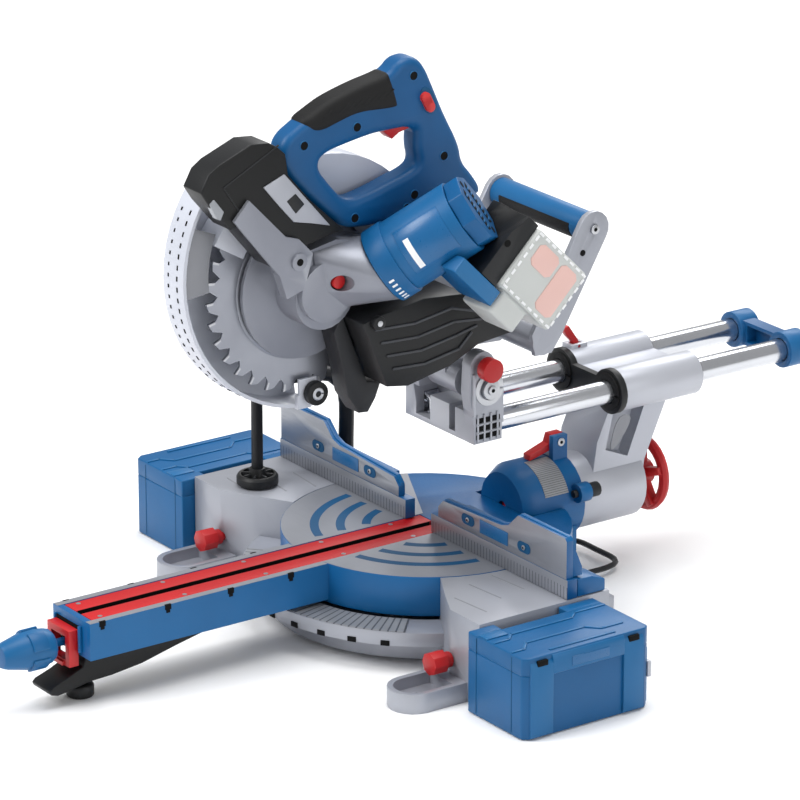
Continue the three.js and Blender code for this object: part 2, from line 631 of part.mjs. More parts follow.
function sawBlade() {
  const outline = [];
  for (let i = 0; i < BLADE.teeth; i += 1) {
    const a0 = (360 * i) / BLADE.teeth;
    const step = 360 / BLADE.teeth;
    const at = (r, f) => arc(ARBOR.y, ARBOR.z, r, a0 + f * step, a0 + f * step, 1)[0];
    outline.push(at(BLADE.r, 0), at(BLADE.r - 3, 0.42), at(BLADE.r - 13, 0.74), at(BLADE.r - 9, 0.97));
  }
  return cut(prism('X', outline, -BLADE.half, BLADE.half), rod('X', ARBOR.y, ARBOR.z, 8.4, -3, 3, 16));
}

function lowerGuard() {
  const { y, z, r } = GUARD_ARC;
  const from = 137;
  const to = 270;
  const outer = arc(y, z, r, from, to, 22);
  const rim = prism('X', [...outer, ...arc(y, z, r - 3.5, to, from, 22)], -30, 5);
  const hub = [
    [ARBOR.y + 4, ARBOR.z - 56], [ARBOR.y + 22, ARBOR.z - 18], [ARBOR.y + 22, ARBOR.z + 18],
    [ARBOR.y, ARBOR.z + 24],
  ];
  const face = cut(prism('X', [...outer, ...hub], -30, -27), rod('X', ARBOR.y, ARBOR.z, 13, -40, -20, 16));
  const rollerArm = cut(box(6, 9, -148, -128, 250, 272), rod('X', -132, 257, 2.6, 0, 20, 10));
  return join(rim, face, rollerArm, box(4, 9, -150, -134, 241.8, 256));
}

function guardRoller() {
  return join(rod('X', -132, 257, 12, 10, 18, 20), rod('X', -132, 257, 2.3, 4.6, 11, 10));
}

function motorHousing() {
  const shell = cut(
    rod('X', 0, 0, MOTOR.r, 2.4, MOTOR.seam, 24),
    rod('X', 0, 0, MOTOR.r - 4, 12, MOTOR.seam + 1, 20),
    rod('X', 0, 0, 8, 0, 20, 12),
  );
  return onMotorAxis(shell);
}

function motorCap() {
  const corner = (r) => ring(0, 0, r, 8);
  const cap = join(
    prism('X', corner(MOTOR.r - 1), MOTOR.seam + GAP, MOTOR.end),
    rod('X', 0, 0, MOTOR.r - 4.5, MOTOR.seam - 6, MOTOR.seam + 2, 20),
  );
  return onMotorAxis(cut(cap, rod('X', 0, 0, 24, 80, MOTOR.end - 4, 16)));
}

function motorRotor() {
  return onMotorAxis(join(
    rod('X', 0, 0, 26, 18, 84, 20),
    rod('X', 0, 0, 6, -26, MOTOR.end - 8, 12),
    rod('X', 0, 0, 8, -29, -22, 10),
  ));
}

piece(head, 'upper_guard', upperGuard(), MAT.white());
piece(head, 'gear_case', gearCase(), MAT.casting());
piece(head, 'blade_spindle', spindleSolid(), MAT.steel());
piece(head, 'arbor_bolt', arborBolt(), MAT.steel());
piece(head, 'saw_blade', sawBlade(), MAT.steel());
piece(head, 'lower_guard', lowerGuard(), MAT.white());
piece(head, 'guard_roller', guardRoller(), MAT.black());
piece(head, 'motor_housing', motorHousing(), MAT.blue());
piece(head, 'motor_end_cap', motorCap(), MAT.blue());
piece(head, 'motor_rotor', motorRotor(), MAT.steel());

// ---- main handle over the motor, with its switch ----
const GRIP_X = { x0: 10, x1: 38 };
const LOCK_OFF = { y: -18, z: 537, r: 5, reach: 6, slope: [0.45, -0.89] };

// A bar of constant width between two points of the side view.
function strut(y0, z0, y1, z1, width, x0, x1) {
  const length = Math.hypot(y1 - y0, z1 - z0);
  const [dy, dz] = [((y1 - y0) / length) * width, ((z1 - z0) / length) * width];
  const outline = [
    [y0 - dy - dz, z0 - dz + dy], [y1 + dy - dz, z1 + dz + dy],
    [y1 + dy + dz, z1 + dz - dy], [y0 - dy + dz, z0 - dz - dy],
  ];
  return prism('X', outline, x0, x1);
}

// The oval of the lock-off button, which runs along the slope of the handle's rear edge.
function lockOffShape(r, x0, x1) {
  const { y, z, reach, slope } = LOCK_OFF;
  const at = (along) => [y + along * slope[0], z + along * slope[1]];
  const ends = [-reach, reach].map((along) => rod('X', ...at(along), r, x0, x1, 14));
  return join(...ends, strut(...at(r - reach), ...at(reach - r), r, x0, x1));
}

function handleOutline() {
  return [
    [-116, 427], [-156, 464], [-182, 494], [-185, 514], [-179, 527], [-162, 537], [-144, 547], [-127, 555],
    [-93, 564], [-70, 568], [-57, 573], [-50, 580], [-42, 583], [-30, 583], [-18, 573], [-6, 547], [6, 520],
    [24, 487], [27, 468], [40, 453], [50, 438], [46, 430], [-8, 422], [-52, 420.5], [-70, 422.5], [-92, 422.5],
  ];
}

function handleOpening() {
  return [
    [-110, 452], [-128, 472], [-141, 489], [-140, 499], [-132, 504], [-120, 507], [-84, 513],
    [-66, 514], [-28, 514], [-30, 493], [-26, 477], [-34, 470], [-61, 463], [-82, 457],
  ];
}

// Lower edge of the rubber grip, from its front end to its rear end.
const GRIP_EDGE = [
  [-172, 540], [-152, 524], [-137, 523], [-120, 528], [-97, 534], [-66, 532], [-50, 532],
  [-47, 540], [-52, 556],
];

function mainHandle() {
  const frame = cut(prism('X', handleOutline(), GRIP_X.x0, GRIP_X.x1), prism('X', handleOpening(), 0, 50));
  const gripSeat = prism('X', [...GRIP_EDGE, [-62, 600], [-200, 600], [-200, 560]], 0, 50);
  const triggerPocket = prism('X', [[-66, 500], [-27, 500], [-27, 531], [-66, 531]], 15, 31);
  return cut(frame, gripSeat, triggerPocket, lockOffShape(LOCK_OFF.r + GAP, 0, 50));
}

function gripCover() {
  const seat = prism('X', [...GRIP_EDGE, [-62, 600], [-200, 600], [-200, 560]], 7.2, 38.8);
  const outline = prism('X', handleOutline(), 7, 39);
  const seam = GRIP_EDGE.slice(1).map(([y, z], i) => {
    const [fromY, fromZ] = GRIP_EDGE[i];
    return strut(fromY, fromZ, y, z, 2 * GAP, 0, 50);
  });
  const rear = strut(-52, 556, -62, 600, 2 * GAP, 0, 50);
  const front = strut(-172, 540, -200, 560, 2 * GAP, 0, 50);
  return cut(outline.intersect(seat), ...seam, rear, front);
}

function handleTrigger() {
  const outline = [[-30, 528], [-62, 528], [-64.5, 516], [-61, 511], [-53, 503.5], [-45, 508.5], [-31, 511.5]];
  return prism('X', outline, 15.6, 30.4);
}

function lockOffButton() {
  return lockOffShape(LOCK_OFF.r, 4, 42);
}

function spindleLockButton() {
  const { y, z } = SPINDLE_LOCK;
  return join(rod('X', y, z, 6.8, 49.5, 58, 14), rod('X', y, z, 3, 42.2, 50, 10));
}

// ---- lamp housing in front of the gear case ----
function frontCover() {
  const outline = [
    [-283, 494], [-274, 480], [-250, 452], [-243, 454], [-203, 406], [-194, 410], [-168, 420], [-130, 428],
    [-120, 428.5], [-158.5, 464.5], [-184.5, 494.5], [-187.5, 516], [-196, 524], [-206, 530], [-226, 532],
    [-262, 518], [-274, 510],
  ];
  return prism('X', outline, 16, 47.5);
}

// ---- dust chute and its rubber lip ----
function dustChute() {
  const roof = [
    [-112, 337], [-96, 342], [-78, 344], [-40, 350], [8, 346], [64, 308], [73, 299], [62, 294],
    [26, 290], [-7, 275], [-60, 264], [-84, 268],
  ];
  const hollow = [
    [-96, 334], [-40, 342], [4, 336], [58, 304], [86, 290], [58, 297], [24, 294], [-9, 280],
    [-60, 270], [-79, 274],
  ];
  return cut(prism('X', roof, 14, 66), prism('X', hollow, 17, 63));
}

function chuteLip() {
  const outline = [
    [-124, 322], [-118, 333], [-113.5, 336], [-85.5, 265.5], [-69, 261], [-75, 246], [-84, 233],
    [-95, 234], [-108, 254], [-116, 293],
  ];
  return prism('X', outline, 10, 34);
}

// ---- battery mount ----
const BATTERY = { x: 118, y: 43, z: 374, lean: -45, halfW: 30, half: 34, depth: 41 };
const batteryFrame = new THREE.Matrix4()
  .makeRotationX(degrees(BATTERY.lean))
  .setPosition(BATTERY.x, BATTERY.y, BATTERY.z);
const onBattery = (solid) => toSolid(toGeometry(solid).applyMatrix4(batteryFrame));
const besideMotor = (solid) => cut(solid, onMotorAxis(rod('X', 0, 0, MOTOR.r + GAP, -40, 160, 24)));

function batteryFoot() {
  return besideMotor(onBattery(box(-27, 25, -92, -31, -54, -37)));
}

function batteryShoe() {
  return besideMotor(onBattery(box(-27, 25, -64, -BATTERY.depth - GAP, -36.6, 36)));
}

function batteryPack() {
  const { halfW, half, depth } = BATTERY;
  return onBattery(join(
    box(-halfW, halfW, -depth, depth, -half, half),
    box(-halfW + 6, halfW - 6, -28, 12, -58, -half + 2),
  ));
}

// ---- arm from the pivot to the head, and the carrying handle ----
function headArm() {
  const neck = [
    [28, 232], [26, 296], [-8, 335], [-15, 362], [-13, 404], [24, 404], [60, 330], [64, 292], [62, 236],
  ];
  const tail = [[56, 268], [60, 300], [96, 296], [104, 276], [92, 266]];
  const plate = [[84, 270], [104, 270], [116, 286], ...arc(CARRY.y, CARRY.z, 18, -35, 150, 8), [80, 292]];
  const body = join(
    prism('X', neck, -20, 7),
    rod('X', CHOP.y, CHOP.z, 17, -24, 24, 20),
    prism('X', tail, -20, 12),
    rod('X', 94, 282, 13, -80, 80, 20),
    prism('X', plate, 74, 80),
    prism('X', plate, -80, -74),
  );
  return cut(
    body,
    rod('X', CHOP.y, CHOP.z, 6 + GAP, -40, 40, 16),
    rod('X', CARRY.y, CARRY.z, 5, 70, 90, 12),
    rod('X', CARRY.y, CARRY.z, 5, -90, -70, 12),
  );
}

function carryHandle() {
  return join(
    rod('X', CARRY.y, CARRY.z, 15, -CARRY.half + 4.4, CARRY.half - 4.4, 20),
    rod('X', CARRY.y, CARRY.z, 4.6, -79, 79, 12),
  );
}

piece(head, 'main_handle', mainHandle(), MAT.blue());
piece(head, 'grip_cover', gripCover(), MAT.rubber());
piece(head, 'trigger', handleTrigger(), MAT.red());
piece(head, 'lock_off_button', lockOffButton(), MAT.red());
piece(head, 'spindle_lock_button', spindleLockButton(), MAT.red());
piece(head, 'front_cover', frontCover(), MAT.black());
piece(head, 'dust_chute', dustChute(), MAT.black());
piece(head, 'chute_lip', chuteLip(), MAT.rubber());
piece(head, 'battery_foot', batteryFoot(), MAT.blue());
piece(head, 'battery_shoe', batteryShoe(), MAT.black());
piece(head, 'battery_pack', batteryPack(), MAT.ghost());
piece(head, 'head_arm', headArm(), MAT.casting());
piece(head, 'carry_handle', carryHandle(), MAT.blue());

export default saw;
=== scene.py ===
# Studio picture of the cordless sliding compound mitre saw: finishes for every solid of the
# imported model, and the moulded, printed and machined details that lie on them.
import math
import bmesh
import bpy
from mathutils import Matrix, Vector
from mathutils.geometry import tessellate_polygon


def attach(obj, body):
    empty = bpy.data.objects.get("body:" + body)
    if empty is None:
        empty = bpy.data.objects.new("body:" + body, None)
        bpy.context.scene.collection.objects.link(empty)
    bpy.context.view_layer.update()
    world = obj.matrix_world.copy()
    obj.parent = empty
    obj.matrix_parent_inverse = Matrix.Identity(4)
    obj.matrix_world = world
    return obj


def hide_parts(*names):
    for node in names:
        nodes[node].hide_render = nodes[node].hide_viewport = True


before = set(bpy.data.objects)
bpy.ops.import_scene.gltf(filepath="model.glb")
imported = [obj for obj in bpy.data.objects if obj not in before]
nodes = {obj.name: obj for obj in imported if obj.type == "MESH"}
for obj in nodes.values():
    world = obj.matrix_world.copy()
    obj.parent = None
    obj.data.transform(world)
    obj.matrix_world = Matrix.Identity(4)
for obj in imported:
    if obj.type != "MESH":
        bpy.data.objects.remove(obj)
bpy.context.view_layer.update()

# ---- shared dimensions, in millimetres, with Y = 0 at the fence face ----
FENCE_Y = 16.0  # the fence face stands this far behind the middle of the base
TABLE_Z = 85.6  # top of the table and the wings
FILM = 0.28  # thickness of a machined or lacquered top
MITRE_Y = 10.0  # the turntable turns about x = 0 and this y
TURN_R = 146.0
ARM_HALF = 33.5  # half the mitre arm's width
ARM_UNDER = 48.3  # underside of the mitre arm's deck
KNOB_Z = 60.0  # axis of the mitre knob
TILT_Z = 83.0  # the bevel axis runs along Y at x = 0
HUB_R = 44.0
RAIL_X, RAIL_Z, RAIL_R = 40.0, 197.0, 12.5
PIVOT = (44.0, 238.0)  # (y, z) of the chop axis
ARBOR = (-141.0, 366.0)  # (y, z) of the blade's axis
GUARD = (-128.0, 390.0, 149.0)  # (y, z) and radius of the lower guard's rim
ROLLER = (-132.0, 257.0)
SPINDLE_LOCK = (-134.0, 382.0)
CLAMP = (-191.0, -65.0)  # (x, y) of the clamp spindle
MOTOR = Vector((60.0, -88.0, 388.0))  # a point on the motor's axis
MOTOR_YAW, MOTOR_LIFT = math.radians(52), math.radians(34)
MOTOR_R, MOTOR_END = 37.0, 112.0
BATTERY = Vector((118.0, 43.0, 374.0))
BATTERY_LEAN = math.radians(-45)
CARRY = (155.0, 388.0)  # (y, z) of the carrying grip
HANDLE_SIDE = 38.0  # right face of the main handle
SPLIT_RING = 354  # washers and wipers stay open by the few degrees that are left
SIDES = ((-1, "left"), (1, "right"))

# ---- studio, in metres ----
EYE = Vector((0.769, -0.545, 0.334))  # direction from the target to the camera
TARGET = Vector((-0.0495, 0.0289, 0.2017))
EYE_DISTANCE = 4.9
LENS_MM, SENSOR = 220.75, 36.0  # millimetres
SKY_STRENGTH = 0.42
# Name, place, side of the square lamp and power in watts.
LAMPS = [("key", (-0.6, -2.4, 2.6), 1.6, 70.0), ("fill", (2.8, 0.4, 1.2), 1.6, 16.0),
         ("rim", (-1.6, 2.2, 2.2), 1.6, 40.0), ("top", (0.2, 0.2, 3.2), 1.8, 60.0)]

# ---- surface relief and wear ----
GRAIN_DEPTH, STREAK_DEPTH, RING_DEPTH = 0.0004, 0.0003, 0.0002  # metres
NOISE_LOW, NOISE_HIGH = 0.3, 0.7  # the band that noise seldom leaves
WORN_FROM, WORN_TO, WORN_MOST = 0.52, 0.62, 0.55  # how convex an edge is when it starts to rub pale
RINGS_PER_METRE = 1600.0  # grinding marks on the blade, coarser than real so that they show
MARKS_PER_METRE = 200.0  # the fence's ruler has a mark each 5 mm
RULER_HEIGHT = 13  # mm above the table
SMOOTH_BELOW = 32  # degrees


# ---- colour ----
def paint(hexcode):
    """A web colour as the linear values that a shader takes."""
    values = [int(hexcode[i:i + 2], 16) / 255 for i in (1, 3, 5)]
    linear = [v / 12.92 if v <= 0.04045 else ((v + 0.055) / 1.055) ** 2.4 for v in values]
    return (*linear, 1.0)


# ---- node helper ----
def add(tree, kind, settings=None, inputs=None):
    """One node: its settings, then each input as a value or as the socket that feeds it."""
    node = tree.nodes.new(kind)
    for key, value in (settings or {}).items():
        setattr(node, key, value)
    for key, value in (inputs or {}).items():
        if isinstance(value, bpy.types.NodeSocket):
            tree.links.new(value, node.inputs[key])
        else:
            node.inputs[key].default_value = value
    return node


def start(name):
    """A material with its shader and the object's own coordinates in metres."""
    mat = bpy.data.materials.new(name)
    mat.use_nodes = True
    tree = mat.node_tree
    shader = tree.nodes["Principled BSDF"]
    coords = add(tree, "ShaderNodeTexCoord")
    return mat, tree, shader, coords


def noise(tree, coords, size_mm, stretch=(1, 1, 1), detail=3.0):
    """Noise whose features measure size_mm, longer along the axes with a small stretch."""
    scale = tuple(1000.0 * s / size_mm for s in stretch)
    mapping = add(tree, "ShaderNodeMapping", None, {"Vector": coords.outputs["Object"], "Scale": scale})
    return add(tree, "ShaderNodeTexNoise", None,
               {"Vector": mapping.outputs[0], "Scale": 1.0, "Detail": detail}).outputs["Fac"]


def surface(name, shade, dark, rough, metallic=0.0, grain=1.2, relief=0.08, cloud=60.0,
            stretch=(1, 1, 1), gloss=0.5, edge=None, spread=0.06):
    """A finish with slow drifts of colour, uneven gloss, and a fine relief of grain mm."""
    mat, tree, shader, coords = start(name)
    drift = noise(tree, coords, cloud)
    fine = noise(tree, coords, grain, stretch, 4.0)
    colour = add(tree, "ShaderNodeMix", {"data_type": "RGBA"}, {0: drift, 6: paint(dark), 7: paint(shade)})
    if edge:
        geometry = add(tree, "ShaderNodeNewGeometry")
        worn = add(tree, "ShaderNodeMapRange", None, {
            "Value": geometry.outputs["Pointiness"], "From Min": WORN_FROM, "From Max": WORN_TO,
            "To Min": 0.0, "To Max": WORN_MOST})
        colour = add(tree, "ShaderNodeMix", {"data_type": "RGBA"}, {
            0: worn.outputs[0], 6: colour.outputs[2], 7: paint(edge)})
    tree.links.new(colour.outputs[2], shader.inputs["Base Color"])
    halved = add(tree, "ShaderNodeMath", {"operation": "MULTIPLY_ADD"}, {0: fine, 1: 0.5, 2: 0.25})
    uneven = add(tree, "ShaderNodeMapRange", None, {
        "Value": halved.outputs[0], "From Min": NOISE_LOW, "From Max": NOISE_HIGH,
        "To Min": rough - spread, "To Max": rough + spread})
    tree.links.new(uneven.outputs[0], shader.inputs["Roughness"])
    bump = add(tree, "ShaderNodeBump", None, {"Height": fine, "Strength": relief, "Distance": GRAIN_DEPTH})
    tree.links.new(bump.outputs[0], shader.inputs["Normal"])
    shader.inputs["Metallic"].default_value = metallic
    shader.inputs["Specular IOR Level"].default_value = gloss
    return mat


# ---- finishes ----
# Baked blue powder coat on castings: soft gloss over a faint orange peel.
BLUE_PAINT = surface("blue_powder_coat", "#005a96", "#004a7e", 0.36, grain=1.6, relief=0.10, gloss=0.35,
                     edge="#2277ae")
# Glass-filled nylon as moulded: duller than the paint, with the fine spark grain of its mould.
BLUE_NYLON = surface("blue_glass_filled_nylon", "#00568e", "#004676", 0.42, grain=0.7, relief=0.16,
                     gloss=0.35, edge="#2b80b6")
# Thin lacquer in grooves and recesses: the same blue, nearly matt.
BLUE_GROOVE = surface("blue_groove_lacquer", "#06507f", "#044468", 0.5, grain=0.8, relief=0.1, gloss=0.3)
# Silver lacquer on sand-like die castings: satin, with the grain of the mould.
CAST_SILVER = surface("silver_lacquered_casting", "#a4a7b0", "#92959e", 0.4, 0.4, grain=0.9, relief=0.22,
                      edge="#c9ccd3")
# The same lacquer on the rail housing, painted lighter as a lit copy.
LIT_CASTING = surface("lit_lacquered_casting", "#babdc6", "#aaadb6", 0.4, 0.35, grain=0.9, relief=0.2,
                       edge="#d6d8de")
# The same lacquer on the gear case, painted darker as shade, and a little rougher.
SHADED_CASE_CASTING = surface("shaded_gear_case_casting", "#8b8e98", "#7d808a", 0.42, 0.4, grain=1.0, relief=0.24,
                       edge="#b4b7bf")
# Machined tops: brighter and smoother, with long tool marks.
TABLE_TOP = surface("ground_aluminium_table", "#a2a5ad", "#8f929a", 0.36, 0.55, grain=1.4, relief=0.12,
                    stretch=(0.06, 1.0, 1.0))
# Hard chrome on ground steel: a bright mirror drawn out by fine marks along the rail.
RAIL_STEEL = surface("hard_chromed_rail", "#dcdee3", "#c6c9cf", 0.2, 0.95, grain=1.0, relief=0.05,
                     stretch=(1.0, 0.04, 1.0), spread=0.05)
# Zinc-plated screws and the spindle: pale, even metal.
SCREW_STEEL = surface("zinc_plated_steel", "#c3c5c9", "#a4a6ab", 0.3, 0.9, grain=0.6, relief=0.1)
# Blackened steel rod: dark satin, with pale wear where it rubs.
DARK_STEEL = surface("blackened_steel", "#1b1c1e", "#101113", 0.42, 0.3, grain=0.8, relief=0.16, gloss=0.35,
                     edge="#4a4d51")
# Black moulded nylon: a faint grey sheen, broken by the mould's grain.
BLACK_NYLON = surface("black_moulded_nylon", "#0f1011", "#0a0b0c", 0.44, grain=0.6, relief=0.2, gloss=0.3,
                      edge="#3c3e42")
# Soft moulded grip rubber: matt, with a coarser pebble that holds no highlight.
GRIP_RUBBER = surface("soft_grip_rubber", "#121213", "#0c0c0d", 0.62, grain=1.1, relief=0.5, gloss=0.3)
# Thicker rubber of the chute's lip; its ribs are painted grey as a highlight along their crests.
CHUTE_RUBBER = surface("rubber_chute_lip", "#17181b", "#0f1012", 0.55, grain=0.9, relief=0.3, gloss=0.35,
                       edge="#5c5e64")
CHUTE_RIB_HIGHLIGHT = surface("black_ribs_painted_highlight", "#44464b", "#313338", 0.5, grain=0.8, relief=0.2, gloss=0.35)
# Red moulded nylon of the controls, and the flatter red of the kerf plates.
RED_NYLON = surface("red_moulded_nylon", "#b80c12", "#9c080e", 0.4, grain=0.7, relief=0.12, gloss=0.4,
                    edge="#e8403f")
RED_INSERT = surface("red_kerf_plate", "#c40a12", "#ae0810", 0.5, grain=1.0, relief=0.14, gloss=0.3)
# Pale polycarbonate guards, and the grey casting of the window's frame.
WHITE_GUARD = surface("pale_guard_plastic", "#cfd3dd", "#c0c4cf", 0.34, grain=1.2, relief=0.05)
GREY_GUARD = surface("grey_guard_casting", "#8f9197", "#808288", 0.45, 0.2, grain=1.0, relief=0.18)
# Clear lamp lens: grey, with the sharpest gloss on the machine.
LENS = surface("clear_lamp_lens", "#9ea2a8", "#8b8f95", 0.16, grain=1.5, relief=0.03)
# Painted shade: a near-black finish for the inside of holes and slots, which light hardly reaches.
SHADOW = surface("painted_recess_shade", "#08090a", "#050506", 0.8, grain=1.0, relief=0.1, gloss=0.2)
# Bleached ABS shell of the battery, with two faded red panels.
GHOST = surface("pale_battery_shell", "#c9ccca", "#bcc0be", 0.5, grain=0.8, relief=0.12)
GHOST_RED = surface("pale_red_battery_panel", "#e6c0b8", "#dcb3aa", 0.5, grain=0.8, relief=0.12)
# Print and labels: thin, even films with a slight unevenness of ink.
WHITE_MARK = surface("white_print", "#f4f5f6", "#e6e8ea", 0.5, grain=0.8, relief=0.05)
LABEL = surface("blank_rating_label", "#12639b", "#0f5688", 0.3, grain=2.0, relief=0.04)


def blade_finish():
    """Ground saw plate: rings of grinding marks round the arbor give it a soft turning sheen."""
    mat, tree, shader, coords = start("ground_saw_plate")
    place = add(tree, "ShaderNodeSeparateXYZ", None, {0: coords.outputs["Object"]})
    squares = []
    for axis, centre in (("Y", (ARBOR[0] + FENCE_Y) / 1000), ("Z", ARBOR[1] / 1000)):
        reach = add(tree, "ShaderNodeMath", {"operation": "SUBTRACT"}, {0: place.outputs[axis], 1: centre})
        squares.append(add(tree, "ShaderNodeMath", {"operation": "MULTIPLY"},
                           {0: reach.outputs[0], 1: reach.outputs[0]}))
    total = add(tree, "ShaderNodeMath", {"operation": "ADD"},
                {0: squares[0].outputs[0], 1: squares[1].outputs[0]})
    radius = add(tree, "ShaderNodeMath", {"operation": "SQRT"}, {0: total.outputs[0]})
    turned = add(tree, "ShaderNodeMath", {"operation": "MULTIPLY"},
                 {0: radius.outputs[0], 1: RINGS_PER_METRE})
    rings = add(tree, "ShaderNodeTexNoise", {"noise_dimensions": "1D"},
                {"W": turned.outputs[0], "Scale": 1.0, "Detail": 3.0}).outputs["Fac"]
    drift = noise(tree, coords, 45.0)
    steel = add(tree, "ShaderNodeMix", {"data_type": "RGBA"},
                {0: drift, 6: paint("#8b8e97"), 7: paint("#a1a4ad")})
    tree.links.new(steel.outputs[2], shader.inputs["Base Color"])
    sheen = add(tree, "ShaderNodeMapRange", None, {
        "Value": rings, "From Min": NOISE_LOW, "From Max": NOISE_HIGH, "To Min": 0.28, "To Max": 0.42})
    tree.links.new(sheen.outputs[0], shader.inputs["Roughness"])
    bump = add(tree, "ShaderNodeBump", None, {"Height": rings, "Strength": 0.06, "Distance": RING_DEPTH})
    tree.links.new(bump.outputs[0], shader.inputs["Normal"])
    shader.inputs["Metallic"].default_value = 0.75
    return mat


def fence_finish(name, ruled):
    """Silver face towards the operator and blue lacquer on every other side; ruled adds a scale."""
    mat, tree, shader, coords = start(name)
    normal = add(tree, "ShaderNodeSeparateXYZ", None, {0: coords.outputs["Normal"]})
    front = add(tree, "ShaderNodeMath", {"operation": "LESS_THAN"}, {0: normal.outputs["Y"], 1: -0.6})
    drift = noise(tree, coords, 50.0)
    streak = noise(tree, coords, 1.2, (0.05, 1.0, 1.0), 4.0)
    silver = add(tree, "ShaderNodeMix", {"data_type": "RGBA"},
                 {0: drift, 6: paint("#8f9299"), 7: paint("#a3a6ad")})
    if ruled:
        place = add(tree, "ShaderNodeSeparateXYZ", None, {0: coords.outputs["Object"]})
        along = add(tree, "ShaderNodeMath", {"operation": "MULTIPLY"},
                    {0: place.outputs["X"], 1: MARKS_PER_METRE})
        step = add(tree, "ShaderNodeMath", {"operation": "FRACT"}, {0: along.outputs[0]})
        line = add(tree, "ShaderNodeMath", {"operation": "LESS_THAN"}, {0: step.outputs[0], 1: 0.16})
        low = add(tree, "ShaderNodeMath", {"operation": "LESS_THAN"},
                  {0: place.outputs["Z"], 1: (TABLE_Z + RULER_HEIGHT) / 1000})
        mark = add(tree, "ShaderNodeMath", {"operation": "MULTIPLY"}, {0: line.outputs[0], 1: low.outputs[0]})
        silver = add(tree, "ShaderNodeMix", {"data_type": "RGBA"},
                     {0: mark.outputs[0], 6: silver.outputs[2], 7: paint("#55575d")})
    colour = add(tree, "ShaderNodeMix", {"data_type": "RGBA"},
                 {0: front.outputs[0], 6: paint("#00568e"), 7: silver.outputs[2]})
    tree.links.new(colour.outputs[2], shader.inputs["Base Color"])
    bare = add(tree, "ShaderNodeMath", {"operation": "MULTIPLY"}, {0: front.outputs[0], 1: 0.7})
    tree.links.new(bare.outputs[0], shader.inputs["Metallic"])
    uneven = add(tree, "ShaderNodeMapRange", None, {
        "Value": streak, "From Min": NOISE_LOW, "From Max": NOISE_HIGH, "To Min": 0.32, "To Max": 0.46})
    tree.links.new(uneven.outputs[0], shader.inputs["Roughness"])
    bump = add(tree, "ShaderNodeBump", None, {"Height": streak, "Strength": 0.08, "Distance": STREAK_DEPTH})
    tree.links.new(bump.outputs[0], shader.inputs["Normal"])
    return mat


def scale_finish(name, spacing, axis, centre):
    """A printed scale plate: dark strokes, spacing degrees apart, that fan out from a turning axis."""
    mat, tree, shader, coords = start(name)
    place = add(tree, "ShaderNodeSeparateXYZ", None, {0: coords.outputs["Object"]})
    other = add(tree, "ShaderNodeMath", {"operation": "SUBTRACT"}, {0: place.outputs[axis], 1: centre / 1000})
    angle = add(tree, "ShaderNodeMath", {"operation": "ARCTAN2"},
                {0: other.outputs[0], 1: place.outputs["X"]})
    turned = add(tree, "ShaderNodeMath", {"operation": "MULTIPLY"},
                 {0: angle.outputs[0], 1: 1 / math.radians(spacing)})
    step = add(tree, "ShaderNodeMath", {"operation": "FRACT"}, {0: turned.outputs[0]})
    line = add(tree, "ShaderNodeMath", {"operation": "LESS_THAN"}, {0: step.outputs[0], 1: 0.22})
    drift = noise(tree, coords, 20.0)
    plate = add(tree, "ShaderNodeMix", {"data_type": "RGBA"},
                {0: drift, 6: paint("#8d8f92"), 7: paint("#a5a7aa")})
    colour = add(tree, "ShaderNodeMix", {"data_type": "RGBA"},
                 {0: line.outputs[0], 6: plate.outputs[2], 7: paint("#5b5d61")})
    tree.links.new(colour.outputs[2], shader.inputs["Base Color"])
    uneven = add(tree, "ShaderNodeMapRange", None, {
        "Value": drift, "From Min": NOISE_LOW, "From Max": NOISE_HIGH, "To Min": 0.34, "To Max": 0.46})
    tree.links.new(uneven.outputs[0], shader.inputs["Roughness"])
    shader.inputs["Metallic"].default_value = 0.3
    return mat


BLADE = blade_finish()
FENCE = fence_finish("fence_two_tone", False)
RULER = fence_finish("fence_ruled", True)
HUB_SCALE = scale_finish("bevel_scale_plate", 3.0, "Z", TILT_Z)
MITRE_SCALE = scale_finish("mitre_scale_ring", 2.5, "Y", MITRE_Y + FENCE_Y)


# ---- shading groups for the solids ----
def clean_group():
    """Joins the facets' doubled corners, so that edges can be rounded."""
    group = bpy.data.node_groups.new("clean_facets", "GeometryNodeTree")
    group.interface.new_socket("Geometry", in_out="INPUT", socket_type="NodeSocketGeometry")
    group.interface.new_socket("Geometry", in_out="OUTPUT", socket_type="NodeSocketGeometry")
    source = add(group, "NodeGroupInput")
    bare = add(group, "GeometryNodeRemoveAttribute", None,
               {"Geometry": source.outputs[0], "Name": "custom_normal"})
    merged = add(group, "GeometryNodeMergeByDistance", None,
                 {"Geometry": bare.outputs[0], "Distance": 0.00002})
    add(group, "NodeGroupOutput", None, {0: merged.outputs[0]})
    return group


def smooth_group():
    """Shades smooth across shallow edges and keeps real corners sharp."""
    group = bpy.data.node_groups.new("smooth_by_angle", "GeometryNodeTree")
    group.interface.new_socket("Geometry", in_out="INPUT", socket_type="NodeSocketGeometry")
    group.interface.new_socket("Geometry", in_out="OUTPUT", socket_type="NodeSocketGeometry")
    source = add(group, "NodeGroupInput")
    angle = add(group, "GeometryNodeInputMeshEdgeAngle")
    sharp = add(group, "FunctionNodeCompare", {"operation": "GREATER_THAN"},
                {0: angle.outputs["Unsigned Angle"], 1: math.radians(SMOOTH_BELOW)})
    faces = add(group, "GeometryNodeSetShadeSmooth", {"domain": "FACE"},
                {"Geometry": source.outputs[0], "Shade Smooth": True})
    edges = add(group, "GeometryNodeSetShadeSmooth", {"domain": "EDGE"},
                {"Geometry": faces.outputs[0], "Selection": sharp.outputs[0], "Shade Smooth": False})
    add(group, "NodeGroupOutput", None, {0: edges.outputs[0]})
    return group


CLEAN, SMOOTH = clean_group(), smooth_group()


